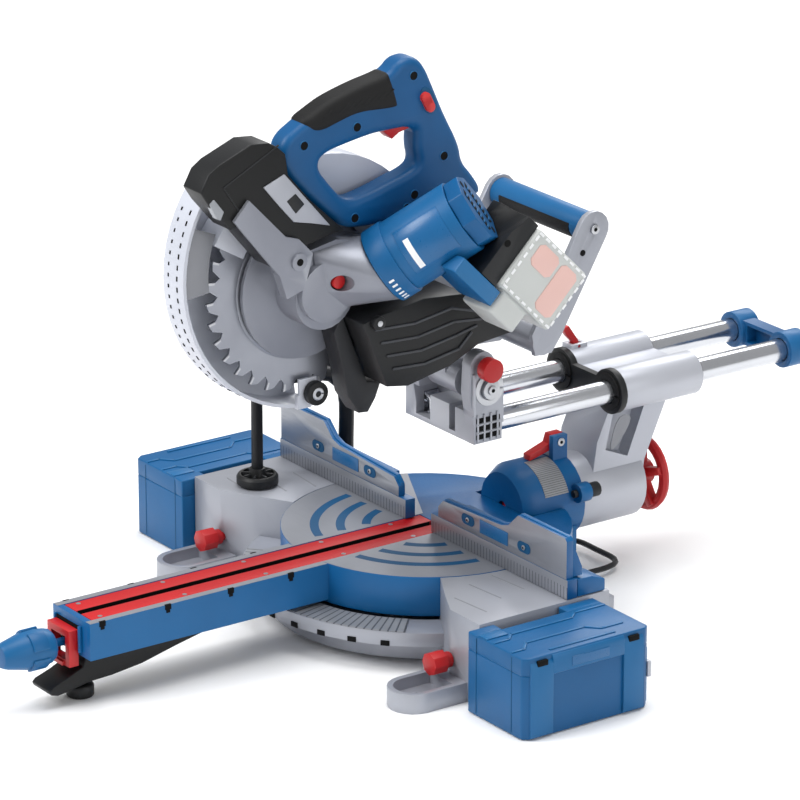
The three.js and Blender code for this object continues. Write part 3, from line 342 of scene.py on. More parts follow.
def soften(obj, width, segments=2, limit=38):
    """Rounds the hard edges of a piece by width mm and shades it smooth."""
    obj.modifiers.new("clean", "NODES").node_group = CLEAN
    if width > 0:
        bevel = obj.modifiers.new("edge", "BEVEL")
        bevel.width = width / 1000
        bevel.segments = segments
        bevel.limit_method = "ANGLE"
        bevel.angle_limit = math.radians(limit)
        bevel.use_clamp_overlap = True
    obj.modifiers.new("smooth", "NODES").node_group = SMOOTH


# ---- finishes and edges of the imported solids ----
# Each solid's finish and the width of its rounded edges in mm, by the start of its name.
FINISH = {
    "base_casting": (CAST_SILVER, 1.2), "fence_lower": (RULER, 0.5), "fence_upper": (FENCE, 0.7),
    "extension_rods": (RAIL_STEEL, 0.3), "side_box": (BLUE_NYLON, 2.0),
    "box_lock_knob": (RED_NYLON, 1.6), "clamp_post": (DARK_STEEL, 0.5),
    "clamp_spindle": (DARK_STEEL, 0.8), "clamp_pad": (GRIP_RUBBER, 0.8),
    "anti_tip_bow": (DARK_STEEL, 0), "turntable": (BLUE_PAINT, 0.8), "insert": (RED_INSERT, 0.5),
    "bevel_hub": (BLUE_PAINT, 1.6), "bevel_stop_screw": (BLACK_NYLON, 0.6),
    "bevel_range_lever": (RED_NYLON, 1.0), "mitre_lock_knob": (BLUE_NYLON, 1.2),
    "mitre_detent_lever": (RED_NYLON, 0.8), "arm_foot": (BLACK_NYLON, 1.5),
    "bevel_arm": (LIT_CASTING, 1.0), "rail_seal_plate": (BLACK_NYLON, 0.6),
    "rail_bush": (BLACK_NYLON, 0.2), "bevel_wheel": (RED_NYLON, 1.0),
    "rail_lock_lever": (RED_NYLON, 0.8), "guide_rail": (RAIL_STEEL, 0.4),
    "rail_end_cap": (BLUE_NYLON, 1.8), "head_bracket": (CAST_SILVER, 0.9),
    "pivot_bolt": (SCREW_STEEL, 0.6), "head_spring": (SCREW_STEEL, 0),
    "transport_lock_pin": (RED_NYLON, 1.2), "upper_guard": (WHITE_GUARD, 0.4),
    "gear_case": (SHADED_CASE_CASTING, 1.4), "blade_spindle": (SCREW_STEEL, 0.4),
    "arbor_bolt": (SCREW_STEEL, 0.5), "saw_blade": (BLADE, 0), "lower_guard": (WHITE_GUARD, 0.4),
    "guard_roller": (BLACK_NYLON, 1.0), "motor_housing": (BLUE_NYLON, 0.8),
    "motor_end_cap": (BLUE_NYLON, 2.4), "motor_rotor": (SCREW_STEEL, 0.4),
    "main_handle": (BLUE_NYLON, 4.2), "grip_cover": (GRIP_RUBBER, 5.0), "trigger": (RED_NYLON, 1.6),
    "lock_off_button": (RED_NYLON, 1.6), "spindle_lock_button": (RED_NYLON, 1.4),
    "front_cover": (BLACK_NYLON, 3.0), "dust_chute": (BLACK_NYLON, 2.0),
    "chute_lip": (CHUTE_RUBBER, 1.6), "battery_foot": (BLUE_NYLON, 2.0),
    "battery_shoe": (BLACK_NYLON, 2.4), "battery_pack": (GHOST, 4.0),
    "head_arm": (CAST_SILVER, 1.2), "carry_handle": (BLUE_NYLON, 2.0),
}
# Large soft mouldings, whose edges get more segments.
WIDE = {"main_handle", "grip_cover", "battery_pack", "front_cover", "motor_end_cap"}

for name, obj in nodes.items():
    key = next(k for k in sorted(FINISH, key=len, reverse=True) if name.startswith(k))
    mat, width = FINISH[key]
    obj.data.materials.clear()
    obj.data.materials.append(mat)
    soften(obj, width, 4 if key in WIDE else 2)


# ---- mesh building, in millimetres of the fence frame ----
class Form:
    """Collects simple solids into one mesh."""

    def __init__(self):
        self.bm = bmesh.new()

    def prism(self, axis, outline, low, high):
        """An outline extruded along an axis: (y, z) points for X, (x, z) for Y, (x, y) for Z."""
        put = {"X": lambda u, v, w: (w, u, v),
               "Y": lambda u, v, w: (u, w, v),
               "Z": lambda u, v, w: (u, v, w)}[axis]
        ends = [[self.bm.verts.new(put(u, v, w)) for u, v in outline] for w in (low, high)]
        count = len(outline)
        for i in range(count):
            j = (i + 1) % count
            self.bm.faces.new((ends[0][i], ends[0][j], ends[1][j], ends[1][i]))
        self.bm.faces.new(ends[0])
        self.bm.faces.new(ends[1])
        return self

    def box(self, x0, x1, y0, y1, z0, z1):
        return self.prism("Z", [(x0, y0), (x1, y0), (x1, y1), (x0, y1)], z0, z1)

    def rod(self, axis, u, v, radius, low, high, count=24):
        return self.prism(axis, arc(u, v, radius, 0, 360 - 360 / count, count - 1), low, high)

    def patch(self, axis, u, v, inner, outer, a0, a1, low, high, count=16):
        """A piece of a ring round an axis, between two radii and two angles."""
        outline = arc(u, v, outer, a0, a1, count) + arc(u, v, inner, a1, a0, count)
        return self.prism(axis, outline, low, high)

    def washer(self, axis, u, v, inner, outer, low, high, count):
        """A split ring round an axis."""
        return self.patch(axis, u, v, inner, outer, 0, SPLIT_RING, low, high, count)

    def lathe(self, centre, profile, count=32):
        """(radius, height) points turned round the Z axis through centre, closed on the axis."""
        rings = []
        for radius, z in profile:
            if radius == 0:
                rings.append([self.bm.verts.new((centre[0], centre[1], z))])
            else:
                circle = arc(*centre, radius, 0, 360 - 360 / count, count - 1)
                rings.append([self.bm.verts.new((x, y, z)) for x, y in circle])
        for a, b in zip(rings, rings[1:]):
            for i in range(count):
                j = (i + 1) % count
                corners = [a[i % len(a)], a[j % len(a)], b[j % len(b)], b[i % len(b)]]
                self.bm.faces.new(list(dict.fromkeys(corners)))
        return self

    def pillow(self, outer, holes, x0, x1, radius, steps=5):
        """A plate across X whose rims are rolled over by radius: (y, z) outlines, holes included."""
        levels = [(x0 + radius * (1 - math.cos(t)), radius * (1 - math.sin(t)))
                  for t in (math.pi / 2 * i / steps for i in range(steps + 1))]
        levels += [(x1 - x + x0, inset) for x, inset in reversed(levels)]
        ends = [[], []]
        for outline, side in [(outer, 1)] + [(hole, -1) for hole in holes]:
            rings = [[self.bm.verts.new((x, y, z)) for y, z in rounded(offset(outline, side * inset))]
                     for x, inset in levels]
            count = len(rings[0])
            for a, b in zip(rings, rings[1:]):
                for i in range(count):
                    j = (i + 1) % count
                    self.bm.faces.new((a[i], a[j], b[j], b[i]))
            ends[0].append(rings[0])
            ends[1].append(rings[-1])
        for loops in ends:
            flat = [v for loop in loops for v in loop]
            for face in tessellate_polygon([[v.co for v in loop] for loop in loops]):
                self.bm.faces.new([flat[i] for i in face])
        return self

    def place(self, name, body, mat, width=0.5, segments=2, move=None, replaced=()):
        """Makes the object, carries it into the saw's frame and lets it ride on its body."""
        if move is not None:
            self.bm.transform(move)
        self.bm.transform(Matrix.Scale(0.001, 4) @ Matrix.Translation((0, FENCE_Y, 0)))
        bmesh.ops.recalc_face_normals(self.bm, faces=self.bm.faces)
        mesh = bpy.data.meshes.new(name)
        self.bm.to_mesh(mesh)
        self.bm.free()
        obj = bpy.data.objects.new(name, mesh)
        bpy.context.scene.collection.objects.link(obj)
        mesh.materials.append(mat)
        soften(obj, width, segments)
        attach(obj, body)
        if replaced:
            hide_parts(*replaced)
        return obj


def arc(u, v, radius, a0, a1, count):
    steps = [math.radians(a0 + (a1 - a0) * i / count) for i in range(count + 1)]
    return [(u + radius * math.cos(a), v + radius * math.sin(a)) for a in steps]


def rounded(outline, rounds=2):
    """Cuts each corner of a closed outline again and again, which turns it into a smooth curve."""
    for _ in range(rounds):
        pairs = zip(outline, outline[1:] + outline[:1])
        outline = [p for (u0, v0), (u1, v1) in pairs
                   for p in ((0.75 * u0 + 0.25 * u1, 0.75 * v0 + 0.25 * v1),
                             (0.25 * u0 + 0.75 * u1, 0.25 * v0 + 0.75 * v1))]
    return outline


def offset(outline, inset):
    """The outline moved inwards by inset, or outwards where it is negative."""
    count = len(outline)
    area = sum(u0 * v1 - u1 * v0 for (u0, v0), (u1, v1) in zip(outline, outline[1:] + outline[:1]))
    turn = 1 if area > 0 else -1
    moved = []
    for i, (u, v) in enumerate(outline):
        before, after = outline[i - 1], outline[(i + 1) % count]
        a = Vector((u - before[0], v - before[1])).normalized()
        b = Vector((after[0] - u, after[1] - v)).normalized()
        normal = Vector((-a.y - b.y, a.x + b.x)).normalized() * turn
        across = max(0.4, normal.dot(Vector((-a.y, a.x)) * turn))
        moved.append((u + normal.x * inset / across, v + normal.y * inset / across))
    return moved


def span(side, near, far):
    """Two distances from the middle as a low and a high x on the given side."""
    return sorted((side * near, side * far))


def mirrored(side, outline):
    return [(side * x, y) for x, y in outline]


def turned(outline, angle, u, v):
    """A small outline turned by an angle in radians and carried to (u, v)."""
    return [(u + p * math.cos(angle) - q * math.sin(angle), v + p * math.sin(angle) + q * math.cos(angle))
            for p, q in outline]


def strip(form, axis, path, half, low, high):
    """A raised line of constant width along a path."""
    for (u0, v0), (u1, v1) in zip(path, path[1:]):
        length = math.hypot(u1 - u0, v1 - v0)
        nu, nv = -(v1 - v0) / length * half, (u1 - u0) / length * half
        du, dv = (u1 - u0) / length * half * 0.6, (v1 - v0) / length * half * 0.6
        form.prism(axis, [(u0 - du + nu, v0 - dv + nv), (u1 + du + nu, v1 + dv + nv),
                          (u1 + du - nu, v1 + dv - nv), (u0 - du - nu, v0 - dv - nv)], low, high)
    return form


def socket_screw(name, body, axis, u, v, face, out, radius=4.0):
    """A steel screw head with a dark hexagon socket; out is +1 or -1 along the axis."""
    low, high = sorted((face, face + out * radius * 0.45))
    Form().rod(axis, u, v, radius, low, high, 20).place(name, body, SCREW_STEEL, 0.4)
    low, high = sorted((face, face + out * (radius * 0.45 + 0.15)))
    Form().rod(axis, u, v, radius * 0.45, low, high, 6).place(name + "_socket", body, SHADOW, 0)


# ---- turntable ----
def turntable_details():
    top = TABLE_Z + FILM
    for side, word in SIDES:
        rim = [(x, y) for x, y in arc(0, MITRE_Y, TURN_R - 0.6, -80.5, 28, 28) if x > 25.4]
        half = mirrored(side, [(25.4, -133)] + rim + [(25.4, 24)])
        Form().prism("Z", half, TABLE_Z, top).place(f"table_top_{word}", "table", TABLE_TOP, 0)
        Form().box(*span(side, 25.3, ARM_HALF - 0.3), -405.6, -133, TABLE_Z, top).place(
            f"arm_edge_{word}", "table", TABLE_TOP, 0)
        for number, radius in enumerate((60, 86, 112)):
            a0 = -math.degrees(math.acos(33 / radius))
            a1 = -math.degrees(math.asin(17 / radius))
            a0, a1 = (a0, a1) if side > 0 else (-180 - a0, -180 - a1)
            Form().patch("Z", 0, MITRE_Y, radius - 4.5, radius + 4.5, a0, a1,
                         TABLE_Z + 0.2, TABLE_Z + 0.33, 20).place(
                f"table_groove_{word}_{number}", "table", BLUE_GROOVE, 0)
        clips = Form()
        for y in (-392, -318, -246, -176):
            clips.box(*span(side, 31.6, 34.1), y - 3.6, y + 3.6, 80.5, TABLE_Z + 0.5)
            clips.box(*span(side, 33, 34.3), y - 2.2, y + 2.2, 77.5, 82)
        clips.place(f"arm_clips_{word}", "table", SHADOW, 0.5)
        screws = Form()
        for y in (-386, -290, -196, -104, -20):
            screws.rod("Z", side * 19.5, y, 2.4, TABLE_Z - 0.6, TABLE_Z - 0.1, 14)
        screws.place(f"insert_screws_{word}", "table", SCREW_STEEL, 0)
    # Painted shade: the kerf's floor, its walls and the strips over the red plates' inner walls are
    # near-black because the slot lies in shade.
    Form().box(-5.8, 5.8, -396.5, 17.5, 68.2, 70).place("kerf_floor", "table", SHADOW, 0)
    for side, word in SIDES:
        Form().box(*span(side, 5.4, 5.95), -396.5, 17.5, 68.4, 80).place(
            f"kerf_wall_{word}", "table", SHADOW, 0)
        Form().box(*span(side, 4.2, 4.58), -396, 17, 68, TABLE_Z - 0.5).place(
            f"kerf_shade_strip_{word}", "table", SHADOW, 0)
    Form().box(-25.5, 16.5, -407.2, -406.1, 50.5, 78).place("arm_end_recess", "table", SHADOW, 0.3)
    Form().box(-28, -25, -409.5, -406.1, 52, 79).box(16, 19, -409.5, -406.1, 52, 79).place(
        "arm_end_cheeks", "table", BLUE_PAINT, 0.6)
    spring = Form()
    for z in (52, 60, 68):
        spring.box(-22, -15, -408, -406.6, z - 1.4, z + 1.4)
    spring.place("detent_spring_leaves", "table", SCREW_STEEL, 0.3)
    ribs = Form()
    for i in range(4):
        ribs.box(-30 + 14 * i, -26 + 14 * i, -360, -170, 44.4, ARM_UNDER)
    ribs.place("arm_underside_ribs", "table", BLACK_NYLON, 0.6)


turntable_details()


# ---- arm foot: a sprung black skid with a turned levelling pad ----
def arm_skid():
    skid = [(-206, 47.7), (-214, 40), (-262, 41), (-300, 33), (-338, 24), (-372, 20), (-398, 19), (-424, 14),
            (-433, 13), (-440, 15), (-442, 19), (-438, 22.5), (-422, 28), (-404, 36), (-400, 47.7)]
    pad = [(0, 0), (12.5, 0), (13.5, 2), (13.5, 11), (12, 13.5), (6, 14.5), (6, 24), (0, 24)]
    foot = Form().prism("X", skid, -17, 17).lathe((0, -398), pad, 28)
    foot.place("arm_skid", "table", BLACK_NYLON, 1.4, 3, replaced=("arm_foot",))


arm_skid()


# ---- mitre knob: moulded pads on the tapered grip ----
def knob_pads():
    for number in range(4):
        angle = 90 * number
        pad = Form().patch("Y", 0, KNOB_Z, 17.4, 20.6, angle + 14, angle + 76, -459, -441, 8)
        pad.place(f"mitre_knob_pad_{number}", "mitre_knob", BLUE_NYLON, 1.2)


knob_pads()


# ---- side boxes ----
def side_box(side, word):
    body = f"box_{word}"
    outer = [(333, -119.6), (338.4, -113), (338.4, 23), (334, 28.6)]
    form = Form()
    for inner, low, high in ((248.6, 1.0, 65.5), (262.4, 65.0, 83.2)):
        form.prism("Z", mirrored(side, [(inner, -119.6), *outer, (inner, 28.6)]), low, high)
    form.box(*span(side, 248.6, 263), -119.6, -89.5, 65, 83.2)
    form.box(*span(side, 248.6, 263), -12.8, 28.6, 65, 83.2)
    form.place(f"side_box_shell_{word}", body, BLUE_NYLON, 1.4, 3, replaced=(f"side_box_{word}",))
    trim = Form()
    pillar = [(334, 2), (339.6, 2), (341, 5), (341, 74), (338, 79), (334, 79)]
    for y0, y1 in ((-113, -87), (-4, 20)):
        trim.prism("Y", mirrored(side, pillar), y0, y1)
    trim.prism("Y", mirrored(side, [(334, 60), (341, 63), (341, 78), (339, 82), (334, 82)]), -88, -3)
    trim.box(*span(side, 300, 333), 28, 30.2, 4, 60)
    trim.place(f"side_box_pillars_{word}", body, BLUE_NYLON, 0.9)
    panel = mirrored(side, [(340.5, 66), (341.7, 66.6), (341.7, 75.4), (340.5, 76)])
    Form().prism("Y", panel, -66, -22).place(f"side_box_blank_panel_{word}", body, LABEL, 0.4)
    ridges = Form()
    for path in ([(288, -118), (288, -101), (279, -92), (279, -20), (270, -10), (270, 26)],
                 [(316, -118), (316, -104), (304, -93), (304, -24), (316, -12), (316, 12)],
                 [(330, -84), (330, -8)]):
        strip(ridges, "Z", mirrored(side, path), 1.5, 83, 84.3)
    ridges.box(*span(side, 264, 278), -119, -94, 83, 84.4)
    ridges.place(f"side_box_ridges_{word}", body, BLUE_NYLON, 0.5)
    latches = Form()
    for y in (-100, 8):
        latches.box(*span(side, 333, 341.4), y - 6, y + 6, 74, 79.6)
    latches.place(f"side_box_latches_{word}", body, SHADOW, 0.6)
    Form().box(*span(side, 249.4, 262), -88.6, -13.8, 66.1, 68).place(
        f"side_box_recess_floor_{word}", body, SHADOW, 0)
    Form().box(*span(side, 322, 336), 28.6, 33, 30, 46).place(
        f"side_box_tab_{word}", body, CAST_SILVER, 0.8)
    grooves = Form()
    for x in (262, 318):
        grooves.box(*span(side, x - 0.5, x + 0.5), -119.9, -119.4, 4, 80)
    grooves.place(f"side_box_grooves_{word}", body, BLUE_GROOVE, 0)


for side, word in SIDES:
    side_box(side, word)


# ---- fences ----
def fence_details(side, word):
    body = f"fence_{word}"
    for number, x in enumerate((84, 176)):
        slot = arc(side * x + 5, 118, 5.4, -90, 90, 10) + arc(side * x - 5, 118, 5.4, 90, 270, 10)
        Form().prism("Y", slot, -0.25, 0.3).place(f"fence_eye_{word}_{number}", body, BLUE_GROOVE, 0)
        socket_screw(f"fence_screw_{word}_{number}", body, "Y", side * x, 118, -0.1, -1, 2.6)
    Form().box(*span(side, 104, 150), -0.5, 0.3, 111, 125).place(
        f"fence_blank_plate_{word}", body, LABEL, 0.5)
    back = [(34.5, 110), (243.6, 110), (243.6, 145.5), (241, 149), (166, 149.2), (149.4, 134.4),
            (138, 130.8), (42, 126.6), (34.5, 119)]
    Form().prism("Y", mirrored(side, back), 3.2, 8.4).place(f"fence_back_{word}", body, BLUE_PAINT, 0.8)
    bracket = [(8.2, 107), (19.8, 107), (19.8, 116), (8.2, 143)]
    Form().prism("X", bracket, *span(side, 226, 243.5)).place(
        f"fence_end_bracket_{word}", body, BLUE_PAINT, 1.0)
    support = [(12.6, 86.2), (46, 86.2), (46, 98), (30, 104.5), (12.6, 104.5)]
    Form().prism("X", support, *span(side, 214, 246)).place(
        f"fence_rear_bracket_{word}", "base", BLUE_PAINT, 1.4)


for side, word in SIDES:
    fence_details(side, word)


# ---- base ----
def base_details():
    Form().patch("Z", 0, MITRE_Y, 150.5, 184.5, 222, 318, 43.05, 43.8, 40).place(
        "mitre_scale", "base", MITRE_SCALE, 0)
    Form().patch("Z", 0, MITRE_Y, 149, 161, 215, 325, 29.4, 33.6, 32).place(
        "scale_gap_floor", "base", SHADOW, 0)
    notches = Form()
    for i in range(9):
        a = math.radians(228 + 10.5 * i)
        place = 184.4 * math.cos(a), MITRE_Y + 184.4 * math.sin(a)
        notches.prism("Z", turned([(-3, -4.5), (2.1, -4.5), (2.1, 4.5), (-3, 4.5)], a, *place), 28.6, 34)
    notches.place("scale_notches", "base", SHADOW, 0.4)
    for side, word in SIDES:
        lines = Form()
        for y, x0 in ((-84, 178), (-52, 158), (-20, 152)):
            line = mirrored(side, [(x0, y), (x0 + 46, y + 4)])
            strip(lines, "Z", line, 0.7, TABLE_Z - 0.1, TABLE_Z + 0.25)
        lines.place(f"wing_lines_{word}", "base", GREY_GUARD, 0)
        Form().rod("Z", side * 203, -146, 7.5, 8, 8.8, 24).place(
            f"lug_boss_{word}", "base", CAST_SILVER, 0.5)
        Form().rod("Z", side * 203, -146, 4.9, 8.2, 9.0, 20).place(f"lug_hole_{word}", "base", SHADOW, 0)


base_details()


# ---- work clamp pad: a ribbed cup under the spindle ----
def clamp_cup():
    profile = [(0, 86.1), (18, 86.1), (21.5, 88), (21.5, 95), (19.5, 98), (17, 98), (16, 93.5),
               (9, 93.5), (8, 104), (0, 104)]
    cup = Form().lathe(CLAMP, profile, 36)
    for i in range(8):
        a = math.radians(45 * i)
        direction, across = Vector((math.cos(a), math.sin(a))), Vector((-math.sin(a), math.cos(a)))
        rib = [Vector(CLAMP) + direction * d + across * w
               for d, w in ((6, -1.1), (16.6, -1.1), (16.6, 1.1), (6, 1.1))]
        cup.prism("Z", [tuple(p) for p in rib], 92, 98.6)
    cup.place("clamp_cup", "clamp_screw", BLACK_NYLON, 0.5, replaced=("clamp_pad",))


clamp_cup()


# ---- bevel hub ----
def hub_details():
    Form().patch("Y", 0, TILT_Z, HUB_R - 0.4, HUB_R + 0.35, 22, 84, 128, 157, 20).place(
        "bevel_scale", "table", HUB_SCALE, 0)
    socket_screw("range_lever_screw", "range_lever", "X", 168, 143, 12, 1, 4.4)
    socket_screw("bevel_stop_socket", "table", "Y", 47, 99, 189.6, 1, 4.2)


hub_details()


# ---- bevel arm ----
def bevel_arm_details():
    for side, word in SIDES:
        x = side * RAIL_X
        Form().washer("Y", x, RAIL_Z, RAIL_R, 19.5, 204.2, 206.2, 36).place(
            f"rail_wiper_{word}", "tilt", GRIP_RUBBER, 0.5)
        Form().washer("Y", x, RAIL_Z, RAIL_R, 21, 310.8, 312.4, 36).place(
            f"rail_rear_ring_{word}", "tilt", BLACK_NYLON, 0.4)
    pocket = rounded([(214, 118), (250, 160), (226, 166)])
    Form().prism("X", pocket, 29.6, 30.3).place("bevel_arm_pocket", "tilt", GREY_GUARD, 0)


bevel_arm_details()


# ---- carriage ----
def carriage_details():
    grid = Form()
    for z in (190.5, 199, 207.5):
        grid.box(57.6, 58.9, 28.5, 57, z - 3.1, z + 1.9)
    grid.place("bracket_windows", "carriage", SHADOW, 0.3)
    bars = Form()
    for y in (30, 38, 46, 54):
        bars.box(58, 59.6, y - 1.1, y + 1.1, 185, 213)
    bars.box(58, 59.6, 28, 58, 193.8, 195.2).box(58, 59.6, 28, 58, 202.4, 203.8)
    bars.place("bracket_grid", "carriage", CAST_SILVER, 0.4)
    strip(Form(), "X", [(24.5, 214), (24.5, 256)], 1.6, 44, 61).place(
        "bracket_rib", "carriage", CAST_SILVER, 0.6)
    socket_screw("pivot_screw", "carriage", "X", *PIVOT, 63, 1, 5.0)
    Form().washer("X", *PIVOT, 11, 17, 58, 59.2, 30).place("pivot_washer", "carriage", SCREW_STEEL, 0.3)


carriage_details()


# ---- head ----
def on_motor():
    """Carries a form built along X onto the motor's axis."""
    along = Vector((math.cos(MOTOR_LIFT) * math.cos(MOTOR_YAW), math.cos(MOTOR_LIFT) * math.sin(MOTOR_YAW),
                    math.sin(MOTOR_LIFT)))
    level = Vector((-math.sin(MOTOR_YAW), math.cos(MOTOR_YAW), 0))
    basis = Matrix((along, level, along.cross(level))).transposed().to_4x4()
    return Matrix.Translation(MOTOR) @ basis


def on_battery():
    return Matrix.Translation(BATTERY) @ Matrix.Rotation(BATTERY_LEAN, 4, "X")


def motor_details():
    for number, v in enumerate((-11.5, 11.5)):
        slot = Form().prism("X", [(v - 4.4, -21), (v + 4.4, -24), (v + 4.4, 24), (v - 4.4, 21)],
                            MOTOR_END - 3.2, MOTOR_END + 0.35)
        slot.place(f"motor_vent_{number}", "head", SHADOW, 0.3, move=on_motor())
        bars = Form()
        for z in range(-18, 22, 6):
            bars.box(MOTOR_END - 0.2, MOTOR_END + 0.9, v - 4.2, v + 4.2, z - 1.1, z + 1.1)
        bars.place(f"motor_louvre_{number}", "head", BLUE_NYLON, 0.3, move=on_motor())
    for number, z in enumerate((-27, 27)):
        Form().rod("X", 0, z, 3.6, MOTOR_END - 1, MOTOR_END + 0.3, 16).place(
            f"motor_screw_{number}", "head", SHADOW, 0, move=on_motor())
    Form().patch("X", 0, 0, MOTOR_R - 0.5, MOTOR_R + 0.45, 130, 205, 34, 84, 16).place(
        "motor_blank_label", "head", LABEL, 0.2, move=on_motor())
    Form().patch("X", 0, 0, MOTOR_R, MOTOR_R + 0.6, 150, 200, 40, 46, 12).place(
        "motor_label_bar", "head", WHITE_MARK, 0, move=on_motor())
    Form().washer("X", 0, 0, MOTOR_R - 2, MOTOR_R + 1.6, 3.2, 24, 40).place(
        "motor_front_band", "head", BLUE_NYLON, 1.2, move=on_motor())
    marks = Form()
    for i in range(6):
        a = 190 + 9 * i
        marks.patch("X", 0, 0, MOTOR_R + 1.3, MOTOR_R + 1.95, a, a + 3.2, 7.5, 13, 2)
    marks.place("motor_air_marks", "head", WHITE_MARK, 0, move=on_motor())


motor_details()


def head_details():
    Form().rod("X", -177, 409, 3.6, 54.8, 55.4, 18).place("case_screw_hole", "head", SHADOW, 0)
    Form().washer("X", *SPINDLE_LOCK, 7.4, 8.4, 44.6, 52.2, 24).place(
        "lock_button_well", "head", SHADOW, 0)
    panel = [(-214, 488), (-190, 497), (-138, 437), (-159, 443), (-180, 448), (-195, 465)]
    Form().prism("X", panel, 47.4, 49.4).place("cover_panel", "head", CAST_SILVER, 0.8)
    Form().prism("X", [(-188, 470), (-178, 476), (-168, 464), (-178, 456)], 47.6, 50.2).place(
        "cover_latch", "head", BLACK_NYLON, 0.8)
    ribs = Form()
    strip(ribs, "X", [(-258, 495), (-196, 526)], 0.8, 46.8, 48.3)
    strip(ribs, "X", [(-258, 495), (-236, 462)], 0.8, 46.8, 48.3)
    ribs.place("cover_seams", "head", BLACK_NYLON, 0.4)
    Form().prism("X", [(-274, 482), (-269, 486), (-258, 472), (-262, 464), (-266, 466)], 40, 48.6).place(
        "lamp_lens", "head", LENS, 0.8)
    # Chute ribs in a painted highlight: their grey stands in for the light along their crests.
    chute = Form()
    for i in range(4):
        drop = 14.5 * i
        strip(chute, "X", [(-98 + 7 * i, 329 - drop), (-52 + 4 * i, 327 - drop), (-8 + 3 * i, 334 - drop),
                           (34 - 6 * i, 322 - drop * 0.4)], 1.3, 65.6, 67.6)
    chute.place("chute_ribs", "head", CHUTE_RIB_HIGHLIGHT, 0.5)
    Form().rod("X", -97, 337, 7.0, 65.4, 73, 24).place("chute_boss", "head", BLACK_NYLON, 1.2)
    Form().rod("X", -97, 337, 3.0, 72.6, 73.4, 18).place("chute_boss_screw", "head", SCREW_STEEL, 0.2)
    screws = ((-33, 565), (3, 479), (-32, 446), (-41, 434), (-102, 435), (-160, 517), (-99, 525))
    for number, (y, z) in enumerate(screws):
        Form().rod("X", y, z, 4.4, HANDLE_SIDE - 0.6, HANDLE_SIDE + 0.2, 20).place(
            f"handle_screw_{number}", "head", SHADOW, 0)
        Form().washer("X", y, z, 4.2, 5.4, HANDLE_SIDE - 0.8, HANDLE_SIDE + 0.4, 24).place(
            f"handle_screw_rim_{number}", "head", BLUE_NYLON, 0.3)
    Form().patch("X", *CARRY, 14.6, 15.5, 168, 300, -58, 58, 18).place(
        "carry_grip_pad", "head", GRIP_RUBBER, 0.4)
    socket_screw("carry_screw", "head", "X", *CARRY, 80, 1, 5.0)
    Form().rod("X", CARRY[0] - 14, CARRY[1] - 22, 3.2, 79.4, 80.3, 16).place(
        "carry_plate_hole", "head", SHADOW, 0)
    Form().washer("X", *ROLLER, 3, 6.4, 17.6, 18.6, 24).place("roller_hub", "roller", SCREW_STEEL, 0.3)


head_details()

# ---- handle and grip: rounded mouldings ----
HANDLE = [(-116, 427), (-156, 464), (-182, 494), (-185, 514), (-179, 527), (-162, 537), (-144, 547),
          (-127, 555), (-93, 564), (-70, 568), (-57, 573), (-50, 580), (-42, 583), (-30, 583), (-18, 573),
          (-6, 547), (6, 520), (24, 487), (27, 468), (40, 453), (50, 438), (46, 430), (-8, 422),
          (-52, 420.5), (-70, 422.5), (-92, 422.5)]
OPENING = [(-110, 452), (-128, 472), (-141, 489), (-140, 499), (-132, 504), (-120, 507), (-84, 513),
           (-66, 514), (-28, 514), (-30, 493), (-26, 477), (-34, 470), (-61, 463), (-82, 457)]
GRIP = [(-164, 538.5), (-151, 525), (-137, 524), (-120, 529), (-97, 535), (-66, 533), (-50, 533), (-47, 540),
        (-52, 556), (-58, 573), (-70, 569.5), (-93, 565.5), (-127, 556.5), (-144, 548.5)]


def handle_details():
    Form().pillow(HANDLE, [OPENING], 10, 38, 8.5, 6).place(
        "handle_moulding", "head", BLUE_NYLON, 0, replaced=("main_handle",))
    Form().pillow(GRIP, [], 8.8, 39.2, 9.5, 7).place(
        "grip_sleeve", "head", GRIP_RUBBER, 0, replaced=("grip_cover",))
    ribs = Form()
    for i in range(9):
        y = -138 + 9 * i
        strip(ribs, "X", [(y, 541 + 0.12 * (y + 138)), (y + 9, 547 + 0.12 * (y + 138))], 0.8, 38.6, 39.4)
    ribs.place("grip_ribs", "head", GRIP_RUBBER, 0.3)
    well = [(-26, 552), (-14, 552), (-3, 528), (-14, 522), (-24, 532)]
    Form().pillow(well, [], HANDLE_SIDE - 0.6, HANDLE_SIDE + 0.6, 0.5, 2).place(
        "lock_off_well", "head", BLUE_GROOVE, 0)


handle_details()


# ---- blade: raised body and carbide tips ----
TEETH = 32
TOOTH_R = 104.5


def blade_details():
    Form().rod("X", *ARBOR, 74, 1.2, 1.75, 64).place("blade_body_disc", "blade", BLADE, 0.3)
    tips = Form()
    for i in range(TEETH):
        a = math.radians(360 * i / TEETH)
        place = ARBOR[0] + TOOTH_R * math.cos(a), ARBOR[1] + TOOTH_R * math.sin(a)
        tips.prism("X", turned([(-4.5, 0.1), (3.2, 0.1), (2.6, 2.4), (-4.5, 2.0)], a, *place), -1.7, 1.7)
    tips.place("blade_tips", "blade", SCREW_STEEL, 0)


blade_details()


# ---- lower guard: two rows of slots round its rim ----
def lower_guard_details():
    y, z, radius = GUARD
    for row, x in enumerate((-21, -6)):
        slots = Form()
        for i in range(22):
            a = 152 + 4.2 * i
            slots.patch("X", y, z, radius - 0.6, radius + 0.3, a, a + 1.3 + row * 0.5, x - 1, x + 1, 2)
        slots.place(f"guard_slots_{row}", "guard", SHADOW, 0)
    Form().patch("X", y, z, radius - 30, radius - 4.5, 158, 186, 1.5, 3.2, 14).place(
        "guard_window_frame", "guard", GREY_GUARD, 0.4)


lower_guard_details()


